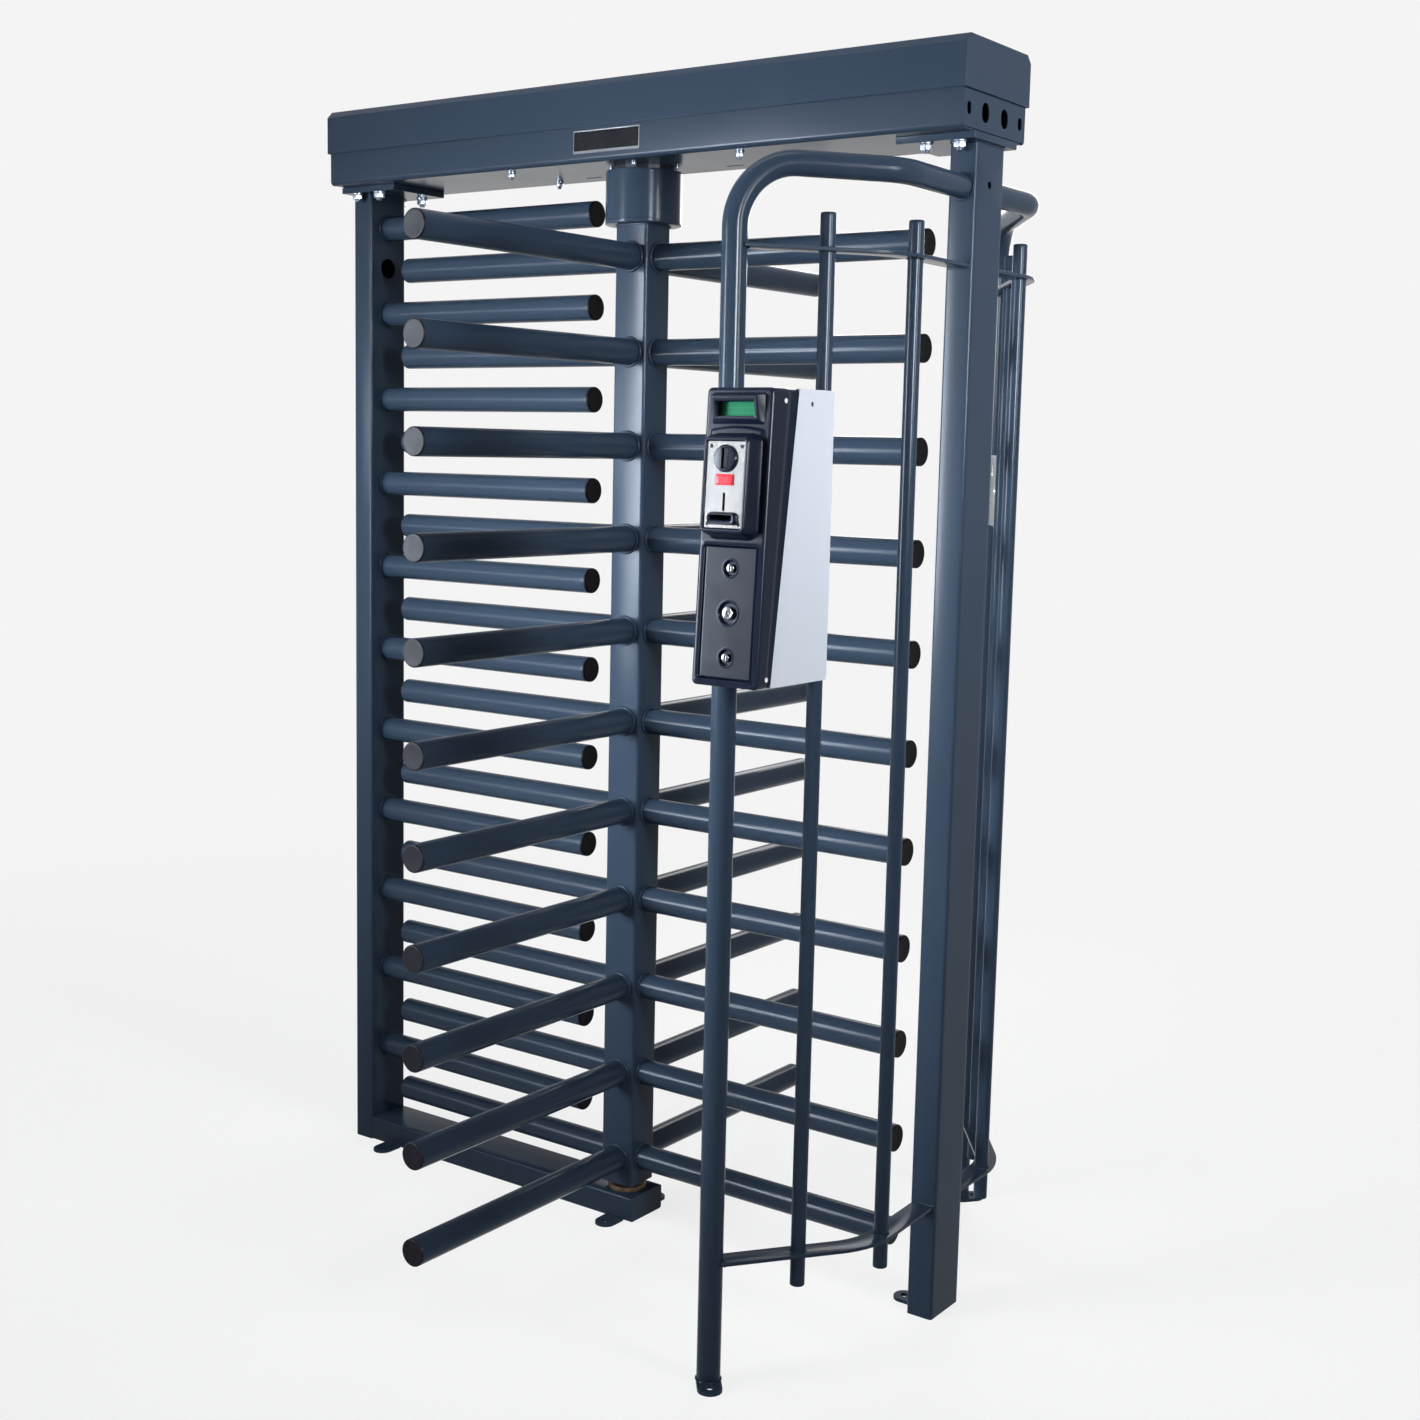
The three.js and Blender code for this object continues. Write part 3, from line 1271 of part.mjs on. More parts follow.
// Moulded front: a hollow shell with a leaning display block, a brow, a tapered bezel and a door frame
function makeUnitFront() {
  const profile = [
    [0, 0],
    [MOULDING_DEPTH_BOTTOM, 0],
    [FRONT_LEAN + MOULDING_DEPTH_TOP, UNIT_HEIGHT],
    [FRONT_LEAN, UNIT_HEIGHT],
  ];
  const body = solid(prism('x', profile, 0, UNIT_WIDTH));
  const deep = FRONT_LEAN + MOULDING_DEPTH_TOP + OVERRUN;
  const frontView = roundedRectangle(0, UNIT_WIDTH, 0, UNIT_HEIGHT, MOULDING_CORNER, MOULDING_CORNER_STEPS);
  const rounded = body.intersect(solid(prism('y', frontView, -OVERRUN, deep)));

  const buried = MOULDING_WALL / 2;
  const blockTop = DISPLAY_BLOCK_BOTTOM + DISPLAY_BLOCK_HEIGHT;
  const wedge = lean(prism(
    'x',
    [
      [buried, DISPLAY_BLOCK_BOTTOM],
      [-DISPLAY_BLOCK_RISE_BOTTOM, DISPLAY_BLOCK_BOTTOM],
      [-DISPLAY_BLOCK_RISE_TOP, blockTop],
      [buried, blockTop],
    ],
    DISPLAY_BLOCK_MARGIN,
    UNIT_WIDTH - DISPLAY_BLOCK_MARGIN,
  ));
  const browPoints = [];
  for (let step = 0; step <= BROW_STEPS; step += 1) {
    const across = (step / BROW_STEPS - 1 / 2) * BROW_WIDTH;
    const bow = BROW_ARCH * Math.cos((across / BROW_WIDTH) * Math.PI);
    browPoints.push([unitMiddle + across, BEZEL_TOP - BROW_ARCH + bow]);
  }
  browPoints.push([unitMiddle + BROW_WIDTH / 2, BEZEL_TOP - BROW_ARCH - BROW_HEIGHT]);
  browPoints.push([unitMiddle - BROW_WIDTH / 2, BEZEL_TOP - BROW_ARCH - BROW_HEIGHT]);
  const brow = lean(prism('y', browPoints, -BROW_RISE, buried));

  const baseHalf = BEZEL_WIDTH / 2;
  const rimHalf = baseHalf - BEZEL_TAPER;
  const base = frontRing(baseHalf, BEZEL_BOTTOM, BEZEL_TOP, buried, BEZEL_CORNER);
  const rim = frontRing(
    rimHalf,
    BEZEL_BOTTOM + BEZEL_TAPER,
    BEZEL_TOP - BEZEL_TAPER,
    -BEZEL_RISE,
    BEZEL_CORNER - BEZEL_TAPER,
  );
  const bezel = lean(loft(base, rim));

  const side = MOULDING_WALL;
  const hollow = solid(prism('x', [
    [MOULDING_WALL, MOULDING_WALL],
    [deep, MOULDING_WALL],
    [deep, UNIT_HEIGHT - MOULDING_WALL],
    [MOULDING_WALL + FRONT_LEAN, UNIT_HEIGHT - MOULDING_WALL],
  ], side, UNIT_WIDTH - side));
  const windowHalf = WINDOW_WIDTH / 2;
  const windowHole = lean(block(
    unitMiddle - windowHalf,
    unitMiddle + windowHalf,
    -DISPLAY_BLOCK_RISE_TOP - OVERRUN,
    MOULDING_WALL + OVERRUN,
    WINDOW_BOTTOM,
    WINDOW_BOTTOM + WINDOW_HEIGHT,
  ));
  const plateHalf = COIN_PLATE_WIDTH / 2 + FIT;
  const plateSeat = COIN_PLATE_RECESS + COIN_PLATE_SHEET + FIT - BEZEL_RISE;
  const pocket = lean(block(
    unitMiddle - plateHalf,
    unitMiddle + plateHalf,
    -BEZEL_RISE - OVERRUN,
    plateSeat,
    COIN_PLATE_BOTTOM - FIT,
    COIN_PLATE_BOTTOM + COIN_PLATE_HEIGHT + FIT,
  ));
  const throat = lean(block(
    unitMiddle - plateHalf + COIN_PLATE_LEDGE,
    unitMiddle + plateHalf - COIN_PLATE_LEDGE,
    -BEZEL_RISE,
    MOULDING_WALL + 2 * OVERRUN,
    COIN_PLATE_BOTTOM + COIN_PLATE_LEDGE,
    COIN_PLATE_BOTTOM + COIN_PLATE_HEIGHT - COIN_PLATE_LEDGE,
  ));
  const doorHalf = DOOR_WIDTH / 2 + DOOR_GAP;
  const doorOpening = lean(prism('y', roundedRectangle(
    unitMiddle - doorHalf,
    unitMiddle + doorHalf,
    DOOR_BOTTOM - DOOR_GAP,
    DOOR_BOTTOM + DOOR_HEIGHT + DOOR_GAP,
    DOOR_CORNER,
    DOOR_CORNER_STEPS,
  ), -OVERRUN, MOULDING_WALL + 2 * OVERRUN));
  const pinReach = HINGE_PIN_LENGTH + FIT;
  const pinHole = lean(rod(
    'z',
    HINGE_PIN_RADIUS + FIT,
    DOOR_BOTTOM - DOOR_GAP - pinReach,
    DOOR_BOTTOM + DOOR_HEIGHT + DOOR_GAP + pinReach,
    doorLeft,
    DOOR_RECESS,
    BORE_SIDES,
  ));
  const shell = rounded.subtract(hollow).add(solid(wedge)).add(solid(brow)).add(solid(bezel));
  const front = cut(shell, windowHole, pocket, throat, doorOpening, pinHole);
  part('coin_front', geometryOf(front), moulded, unit);
}

// The display stands behind the window, against the moulding's front wall
function makeDisplay() {
  const half = WINDOW_WIDTH / 2 + DISPLAY_MARGIN;
  const start = MOULDING_WALL + FIT;
  const module = block(
    unitMiddle - half,
    unitMiddle + half,
    start,
    start + DISPLAY_THICKNESS,
    WINDOW_BOTTOM - DISPLAY_MARGIN,
    WINDOW_BOTTOM + WINDOW_HEIGHT + DISPLAY_MARGIN,
  );
  part('display', module, green, sloped);
}

// Coin plate: stainless sheet with the coin entry's hole, the button's hole, a slot and a return cup
const plateFront = COIN_PLATE_RECESS - BEZEL_RISE;
const plateBack = plateFront + COIN_PLATE_SHEET;

function makeCoinPlate() {
  const half = COIN_PLATE_WIDTH / 2;
  const sheet = block(
    unitMiddle - half,
    unitMiddle + half,
    plateFront,
    plateBack,
    COIN_PLATE_BOTTOM,
    COIN_PLATE_BOTTOM + COIN_PLATE_HEIGHT,
  );
  const mouthHalf = CUP_MOUTH_WIDTH / 2 - COIN_PLATE_LEDGE;
  const mouthTop = CUP_MOUTH_BOTTOM + CUP_MOUTH_HEIGHT;
  const cup = block(
    unitMiddle - mouthHalf,
    unitMiddle + mouthHalf,
    plateFront,
    plateBack + CUP_MOUTH_DEPTH,
    CUP_MOUTH_BOTTOM,
    mouthTop,
  );
  const hollow = block(
    unitMiddle - mouthHalf + CUP_MOUTH_SHEET,
    unitMiddle + mouthHalf - CUP_MOUTH_SHEET,
    plateFront - OVERRUN,
    plateBack + CUP_MOUTH_DEPTH - CUP_MOUTH_SHEET,
    CUP_MOUTH_BOTTOM + CUP_MOUTH_SHEET,
    mouthTop - CUP_MOUTH_SHEET,
  );
  const through = [plateFront - OVERRUN, plateBack + OVERRUN];
  const entryHole = rod('y', ENTRY_SPIGOT_RADIUS + FIT, ...through, unitMiddle, ENTRY_HEIGHT, TURNED_SIDES);
  const buttonHalf = BUTTON_WIDTH / 2 + FIT;
  const buttonHole = block(
    unitMiddle - buttonHalf,
    unitMiddle + buttonHalf,
    ...through,
    BUTTON_MIDDLE - BUTTON_HEIGHT / 2 - FIT,
    BUTTON_MIDDLE + BUTTON_HEIGHT / 2 + FIT,
  );
  const slotHalf = RETURN_SLOT_WIDTH / 2;
  const slot = block(
    unitMiddle - slotHalf,
    unitMiddle + slotHalf,
    ...through,
    RETURN_SLOT_BOTTOM,
    RETURN_SLOT_BOTTOM + RETURN_SLOT_HEIGHT,
  );
  const plate = cut(join(sheet, cup), hollow, entryHole, buttonHole, slot);
  part('coin_plate', geometryOf(plate), stainless, sloped);
}

// Coin entry: a round black boss with two ribs beside the coin slot
function makeCoinEntry() {
  const front = plateFront - ENTRY_RISE;
  const chamfer = ENTRY_RISE / 2;
  const boss = turned([
    [0, -ENTRY_SPIGOT_LENGTH],
    [ENTRY_SPIGOT_RADIUS, -ENTRY_SPIGOT_LENGTH],
    [ENTRY_SPIGOT_RADIUS, FIT],
    [ENTRY_RADIUS, FIT],
    [ENTRY_RADIUS, ENTRY_RISE - chamfer],
    [ENTRY_RADIUS - chamfer, ENTRY_RISE],
    [0, ENTRY_RISE],
  ]).rotateX(Math.PI / 2).translate(unitMiddle, plateFront, ENTRY_HEIGHT);
  const ribs = [-1, 1].map((sign) => {
    const inner = sign * (COIN_SLOT_WIDTH / 2);
    const [x0, x1] = [inner, inner + sign * ENTRY_RIB_WIDTH].sort((a, b) => a - b);
    return block(
      unitMiddle + x0,
      unitMiddle + x1,
      front - ENTRY_RIB_RISE,
      front + chamfer,
      ENTRY_HEIGHT - ENTRY_RIB_HEIGHT / 2,
      ENTRY_HEIGHT + ENTRY_RIB_HEIGHT / 2,
    );
  });
  const slotHalf = COIN_SLOT_WIDTH / 2;
  const slot = block(
    unitMiddle - slotHalf,
    unitMiddle + slotHalf,
    front - ENTRY_RIB_RISE - OVERRUN,
    plateFront + ENTRY_SPIGOT_LENGTH + OVERRUN,
    ENTRY_HEIGHT - COIN_SLOT_HEIGHT / 2,
    ENTRY_HEIGHT + COIN_SLOT_HEIGHT / 2,
  );
  part('coin_entry', geometryOf(cut(join(boss, ...ribs), slot)), moulded, sloped);
}

// Reject button: its cap stands in the plate's hole, held by a lip behind the plate
function makeRejectButton() {
  const half = BUTTON_WIDTH / 2;
  const low = BUTTON_MIDDLE - BUTTON_HEIGHT / 2;
  const high = BUTTON_MIDDLE + BUTTON_HEIGHT / 2;
  const lipStart = plateBack + FIT;
  const cap = block(
    unitMiddle - half,
    unitMiddle + half,
    plateFront - BUTTON_RISE,
    plateBack + BUTTON_DEPTH,
    low,
    high,
  );
  const lip = block(
    unitMiddle - half - BUTTON_LIP,
    unitMiddle + half + BUTTON_LIP,
    lipStart,
    lipStart + BUTTON_LIP_THICKNESS,
    low - BUTTON_LIP,
    high + BUTTON_LIP,
  );
  part('reject_button', geometryOf(join(cap, lip)), red, sloped);
}

// Coin validator: the block behind the plate that the coin falls through
function makeValidator() {
  const half = VALIDATOR_WIDTH / 2 - COIN_PLATE_LEDGE;
  const start = plateBack + BUTTON_DEPTH + BUTTON_TRAVEL + FIT;
  const low = VALIDATOR_BOTTOM;
  const high = VALIDATOR_BOTTOM + VALIDATOR_HEIGHT - COIN_PLATE_LEDGE;
  const body = solid(block(unitMiddle - half, unitMiddle + half, start, start + VALIDATOR_DEPTH, low, high));
  const feet = [-1, 1].map((sign) => {
    const outer = sign * half;
    const [x0, x1] = [outer, outer - sign * ENTRY_RIB_WIDTH].sort((a, b) => a - b);
    const footLow = high - ENTRY_RIB_HEIGHT / 2;
    return block(unitMiddle + x0, unitMiddle + x1, plateBack + FIT, start + OVERRUN, footLow, high);
  });
  const slotHalf = COIN_SLOT_WIDTH / 2;
  const chute = block(
    unitMiddle - slotHalf,
    unitMiddle + slotHalf,
    start - OVERRUN,
    start + VALIDATOR_DEPTH / 2,
    ENTRY_HEIGHT - COIN_SLOT_HEIGHT / 2,
    ENTRY_HEIGHT + COIN_SLOT_HEIGHT / 2,
  );
  const whole = feet.reduce((rest, foot) => rest.add(solid(foot)), body);
  part('coin_validator', geometryOf(cut(whole, chute)), moulded, sloped);
}

// Cash door: a recessed panel on two pins at its left edge, with a round recess for each lock
const doorLeft = unitMiddle - DOOR_WIDTH / 2;
const doorBack = DOOR_RECESS + DOOR_THICKNESS;
const doorMiddle = DOOR_BOTTOM + DOOR_HEIGHT / 2;
const smallLock = { radius: SMALL_LOCK_RADIUS, recess: SMALL_LOCK_RECESS };
const mainLock = { radius: MAIN_LOCK_RADIUS, recess: MAIN_LOCK_RECESS };
const lockPlaces = [
  { name: 'lock_upper', height: doorMiddle + LOCK_SPACING, turn: -1, layer: 0, ...smallLock },
  { name: 'lock_main', height: doorMiddle, turn: -1, layer: 0, ...mainLock },
  { name: 'lock_lower', height: doorMiddle - LOCK_SPACING, turn: 1, layer: 1, ...smallLock },
];

function makeCashDoor() {
  const outline = roundedRectangle(
    doorLeft,
    doorLeft + DOOR_WIDTH,
    DOOR_BOTTOM,
    DOOR_BOTTOM + DOOR_HEIGHT,
    DOOR_CORNER,
    DOOR_CORNER_STEPS,
  );
  const pin = rod(
    'z',
    HINGE_PIN_RADIUS,
    DOOR_BOTTOM - HINGE_PIN_LENGTH,
    DOOR_BOTTOM + DOOR_HEIGHT + HINGE_PIN_LENGTH,
    doorLeft,
    DOOR_RECESS,
    BORE_SIDES,
  );
  const tools = [];
  for (const { height, recess } of lockPlaces) {
    const bottom = DOOR_RECESS + LOCK_RECESS_DEPTH;
    tools.push(rod('y', recess, DOOR_RECESS - OVERRUN, bottom, unitMiddle, height, TURNED_SIDES));
    tools.push(rod('y', LOCK_STEM_RADIUS + FIT, bottom - OVERRUN, doorBack + OVERRUN, unitMiddle, height));
  }
  const panel = join(prism('y', outline, DOOR_RECESS, doorBack), pin);
  part('cash_door', geometryOf(cut(panel, ...tools)), moulded, sloped);
}

// Locks: a head in the door's recess, a stem through the door and a tongue behind it
function makeLocks() {
  for (const { name, height, radius, turn, layer } of lockPlaces) {
    const headBack = DOOR_RECESS + LOCK_RECESS_DEPTH - FIT;
    const headFront = DOOR_RECESS - LOCK_RISE;
    const tongueStart = doorBack + LOCK_TONGUE_GAP + layer * (LOCK_TONGUE_THICKNESS + LOCK_TONGUE_GAP);
    const tongueEnd = tongueStart + LOCK_TONGUE_THICKNESS;
    const half = LOCK_TONGUE_WIDTH / 2;
    const [z0, z1] = [-turn * half, turn * LOCK_TONGUE_LENGTH].sort((a, b) => a - b);
    const lock = join(
      rod('y', radius, headFront, headBack, unitMiddle, height, TURNED_SIDES),
      rod('y', LOCK_STEM_RADIUS, headBack - OVERRUN / 2, tongueEnd, unitMiddle, height),
      block(unitMiddle - half, unitMiddle + half, tongueStart, tongueEnd, height + z0, height + z1),
    );
    const keySlot = block(
      unitMiddle - KEY_SLOT_WIDTH / 2,
      unitMiddle + KEY_SLOT_WIDTH / 2,
      headFront - OVERRUN,
      headFront + KEY_SLOT_DEPTH,
      height - KEY_SLOT_LENGTH / 2,
      height + KEY_SLOT_LENGTH / 2,
    );
    part(name, geometryOf(cut(lock, keySlot)), zinc, sloped);
  }
}

// Cash box: an open sheet box that stands on the housing's floor behind the door
function makeCashBox() {
  const x0 = HOUSING_SHEET + CASH_BOX_MARGIN;
  const x1 = UNIT_WIDTH - HOUSING_SHEET - CASH_BOX_MARGIN;
  const low = HOUSING_SHEET + FIT;
  const high = low + CASH_BOX_HEIGHT;
  const foremost = MOULDING_DEPTH_BOTTOM + CASH_BOX_FRONT_GAP;
  const frontAt = (height) => foremost + (height / UNIT_HEIGHT) * FRONT_LEAN;
  const back = UNIT_DEPTH - HOUSING_SHEET - CASH_BOX_BACK_GAP;
  const outline = [[frontAt(low), low], [back, low], [back, high], [frontAt(high), high]];
  const wall = CASH_BOX_WALL;
  const hollow = prism('x', [
    [frontAt(low) + wall, low + wall],
    [back - wall, low + wall],
    [back - wall, high + OVERRUN],
    [frontAt(high) + wall, high + OVERRUN],
  ], x0 + wall, x1 - wall);
  part('cash_box', geometryOf(cut(solid(prism('x', outline, x0, x1)), hollow)), zinc, unit);
}

const frontRoute = cageRoute(FRONT_LEG_X, FRONT_LEG_Y, FRONT_KNEE_X, FRONT_KNEE_Y);
const backRoute = cageRoute(BACK_LEG_X, BACK_LEG_Y, BACK_KNEE_X, BACK_KNEE_Y);

makePosts();
makeRail();
makeHeadPlates();
makeComb();
makeRotor();
makeFootPivot();
makeHub();
makeUpperBearing();
makeTray();
makeLid();
makeMechanismPlate();
makeLockDisc();
makePawls();
makeSolenoids();
makeControlBoard();
makeCage('front', frontRoute, FRONT_BAR_SHARES);
makeCage('back', backRoute, BACK_BAR_SHARES);
makeReaderPlate(backRoute);
makeUnitHousing();
makeClamps();
makeUnitFront();
makeDisplay();
makeCoinPlate();
makeCoinEntry();
makeRejectButton();
makeValidator();
makeCashDoor();
makeLocks();
makeCashBox();

export default turnstile;
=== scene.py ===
import bmesh
import bpy
import numpy as np
from mathutils import Matrix, Vector


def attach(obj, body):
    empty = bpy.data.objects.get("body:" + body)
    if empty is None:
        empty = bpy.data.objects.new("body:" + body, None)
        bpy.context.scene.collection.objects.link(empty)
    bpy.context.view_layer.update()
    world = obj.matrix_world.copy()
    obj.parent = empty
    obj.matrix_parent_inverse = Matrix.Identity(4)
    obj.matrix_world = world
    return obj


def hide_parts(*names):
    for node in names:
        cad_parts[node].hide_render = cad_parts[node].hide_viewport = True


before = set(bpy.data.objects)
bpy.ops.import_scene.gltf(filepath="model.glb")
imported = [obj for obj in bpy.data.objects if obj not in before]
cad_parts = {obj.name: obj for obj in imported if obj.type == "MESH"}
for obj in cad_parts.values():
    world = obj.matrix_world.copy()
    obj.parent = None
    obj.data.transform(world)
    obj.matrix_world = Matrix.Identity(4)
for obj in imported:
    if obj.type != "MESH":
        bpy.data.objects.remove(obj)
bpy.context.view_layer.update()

# Camera
# The photograph was taken from the front right at chest height, with a fairly long lens.
# Its place, turn and lens come from fitting the object's own straight edges to their real sizes.
camera_place = (2.21122, -2.87374, 1.52793)
yaw, pitch, roll = np.radians([35.953, -7.472, 1.188])
picture_width = 1420
focal_length = 1871.57
ahead = np.array([-np.sin(yaw) * np.cos(pitch), np.cos(yaw) * np.cos(pitch), np.sin(pitch)])
level = np.array([np.cos(yaw), np.sin(yaw), 0.0])
above = np.cross(level, ahead)
rightward = level * np.cos(roll) + above * np.sin(roll)
upward = above * np.cos(roll) - level * np.sin(roll)
lens = bpy.data.cameras.new("camera")
lens.sensor_width = 36
lens.lens = focal_length / picture_width * lens.sensor_width
lens.shift_x, lens.shift_y = 0.0155, -0.0106
camera = bpy.data.objects.new("camera", lens)
turned_to = Matrix(np.column_stack([rightward, upward, -ahead]).tolist()).to_4x4()
camera.matrix_world = Matrix.Translation(camera_place) @ turned_to
bpy.context.scene.collection.objects.link(camera)
bpy.context.scene.camera = camera
bpy.context.scene.view_settings.view_transform = "Standard"

# Studio lamps and pale surroundings
# Soft boxes at the front left, at the right, overhead and behind are aimed at the object's
# upper half, so that the light falls off towards the floor. One at the front left only lights,
# and four more are only mirrored and give the bright lines on the tubes. The surroundings look
# pale and light the object weakly.
backdrop = (0.905, 0.905, 0.905, 1)


def soft_box(name, place, aim, width, height, power, spread=180, gives="light and shine"):
    """A rectangular lamp turned from its place to its aim. It lights surfaces, is mirrored in
    them, or does both; the ones that are only mirrored are slightly blue."""
    light = bpy.data.lights.new(name, "AREA")
    light.shape = "RECTANGLE"
    light.size = width
    light.size_y = height
    light.energy = power
    light.color = (1, 1, 1) if "light" in gives else (0.80, 0.89, 1)
    light.spread = np.radians(spread)
    lamp = bpy.data.objects.new(name, light)
    lamp.visible_diffuse = "light" in gives
    lamp.visible_glossy = "shine" in gives
    lamp.location = place
    lamp.rotation_euler = (Vector(aim) - Vector(place)).to_track_quat("-Z", "Y").to_euler()
    bpy.context.scene.collection.objects.link(lamp)


soft_box("lamp_front", (-1.3, -2.6, 1.5), (0.3, 0, 1.35), 1.5, 1.3, 34, spread=52, gives="light")
soft_box("lamp_right", (3.6, -0.5, 2.2), (0.3, 0, 1.8), 0.8, 1.2, 22, spread=70)
soft_box("lamp_above", (0.2, -0.5, 4.2), (0, 0, 1), 2.4, 0.5, 32)
soft_box("lamp_behind", (-0.8, 3.2, 2.6), (0, 0, 1.4), 1.6, 1.0, 36)
soft_box("shine_caps", (-1.8, -2.55, 1.3), (0.15, 0, 1.4), 0.4, 1.0, 64, gives="shine")
soft_box("shine_comb", (-2.6, -2.5, 1.6), (-0.4, 0, 1.3), 0.7, 0.35, 16, gives="shine")
soft_box("shine_left", (-1.3, -2.5, 1.6), (0.15, 0, 1.5), 0.4, 1.2, 162, gives="shine")
soft_box("shine_right", (3.2, -1.9, 1.95), (0.6, -0.4, 1.6), 0.5, 0.8, 320, gives="shine")


def set_inputs(tree, node, inputs):
    """Gives each named input of a node its value, or a link where the value is an output."""
    for socket, given in inputs.items():
        if isinstance(given, bpy.types.NodeSocket):
            tree.links.new(given, node.inputs[socket])
        else:
            node.inputs[socket].default_value = given


def add_node(tree, kind, inputs, **settings):
    """Adds a shader node, with its own settings first and then its inputs."""
    made = tree.nodes.new(kind)
    for setting, value in settings.items():
        setattr(made, setting, value)
    set_inputs(tree, made, inputs)
    return made


def seen_ray(tree):
    """1 where the ray comes from the camera, a reflection or a clear surface, and 0 elsewhere."""
    path = tree.nodes.new("ShaderNodeLightPath")
    total = path.outputs["Is Camera Ray"]
    for kind in ("Is Glossy Ray", "Is Transmission Ray"):
        pair = {0: total, 1: path.outputs[kind]}
        total = add_node(tree, "ShaderNodeMath", pair, operation="MAXIMUM").outputs[0]
    return total


world = bpy.data.worlds.new("surroundings")
world.use_nodes = True
air = world.node_tree
air.nodes.clear()
pale = add_node(air, "ShaderNodeBackground", {"Color": backdrop})
fill = add_node(air, "ShaderNodeBackground", {"Color": (0.86, 0.93, 1, 1), "Strength": 0.2})
either = add_node(air, "ShaderNodeMixShader", {
    "Fac": seen_ray(air), 1: fill.outputs[0], 2: pale.outputs[0],
})
add_node(air, "ShaderNodeOutputWorld", {"Surface": either.outputs[0]})
bpy.context.scene.world = world

# Floor
# A pale disc that keeps a soft shadow under the object. Away from the middle it goes over
# into the same grey as the surroundings, so that no edge or horizon shows.
floor_radius, floor_level, floor_steps = 14.0, -0.0005, 64
shadow_to, plain_from = 1.2, 4.5


def full_turn(steps):
    """Angles once round in equal steps, without the last one, which would repeat the first."""
    return np.linspace(0, 2 * np.pi, steps, endpoint=False)


ring_radii = np.array([0.0, 1.5, 3.0, 6.0, floor_radius])
ring_turns = full_turn(floor_steps)
floor_points = np.stack([
    ring_radii[:, None] * np.cos(ring_turns),
    ring_radii[:, None] * np.sin(ring_turns),
    np.full((len(ring_radii), floor_steps), floor_level),
], axis=-1)
floor_index = np.arange(floor_points.size // 3).reshape(floor_points.shape[:2])
floor_next = np.roll(floor_index, -1, axis=1)
floor_faces = np.stack([floor_index[:-1], floor_index[1:], floor_next[1:], floor_next[:-1]], -1)
floor_mesh = bpy.data.meshes.new("floor")
floor_mesh.from_pydata(floor_points.reshape(-1, 3).tolist(), [],
                       floor_faces.reshape(-1, 4).tolist())
floor = bpy.data.objects.new("floor", floor_mesh)
bpy.context.scene.collection.objects.link(floor)
floor_look = bpy.data.materials.new("pale_floor")
floor_look.use_nodes = True
tree = floor_look.node_tree
tree.nodes.clear()
where = tree.nodes.new("ShaderNodeTexCoord")
distance = add_node(tree, "ShaderNodeVectorMath", {0: where.outputs["Object"]}, operation="LENGTH")
fade = add_node(tree, "ShaderNodeMapRange", {
    "Value": distance.outputs["Value"], "From Min": shadow_to, "From Max": plain_from,
}, interpolation_type="SMOOTHSTEP")
matt = add_node(tree, "ShaderNodeBsdfDiffuse", {"Color": (0.22, 0.22, 0.22, 1)})
glow = add_node(tree, "ShaderNodeEmission", {"Color": (1, 1, 1, 1), "Strength": 0.78})
both = add_node(tree, "ShaderNodeAddShader", {0: matt.outputs[0], 1: glow.outputs[0]})
flat_glow = add_node(tree, "ShaderNodeEmission", {"Color": backdrop})
near_far = add_node(tree, "ShaderNodeMixShader", {
    "Fac": fade.outputs["Result"], 1: both.outputs[0], 2: flat_glow.outputs[0],
})
plain_matt = add_node(tree, "ShaderNodeBsdfDiffuse", {"Color": (0.7, 0.7, 0.7, 1)})
seen = add_node(tree, "ShaderNodeMixShader", {
    "Fac": seen_ray(tree), 1: plain_matt.outputs[0], 2: near_far.outputs[0],
})
add_node(tree, "ShaderNodeOutputMaterial", {"Surface": seen.outputs[0]})
floor.data.materials.append(floor_look)

# Posts
# Two posts of 100 x 50 mm steel tube with rounded corners, powder coated in dark slate blue.
# The left one has a round cable hole in its inner face, the right one a bolt hole outside.
# Sizes are in millimetres from here on, as on a drawing, and become metres in each mesh.
post_middle = 700.0
post_half = (25.0, 50.0)
post_corner = 5.0
post_wall = 3.0
post_height = 2040.0
post_inner = post_middle - post_half[0]
cable_hole = dict(hole_height=1892.0, hole_radius=20.0)
bolt_hole = dict(hole_height=1974.0, hole_radius=6.0)


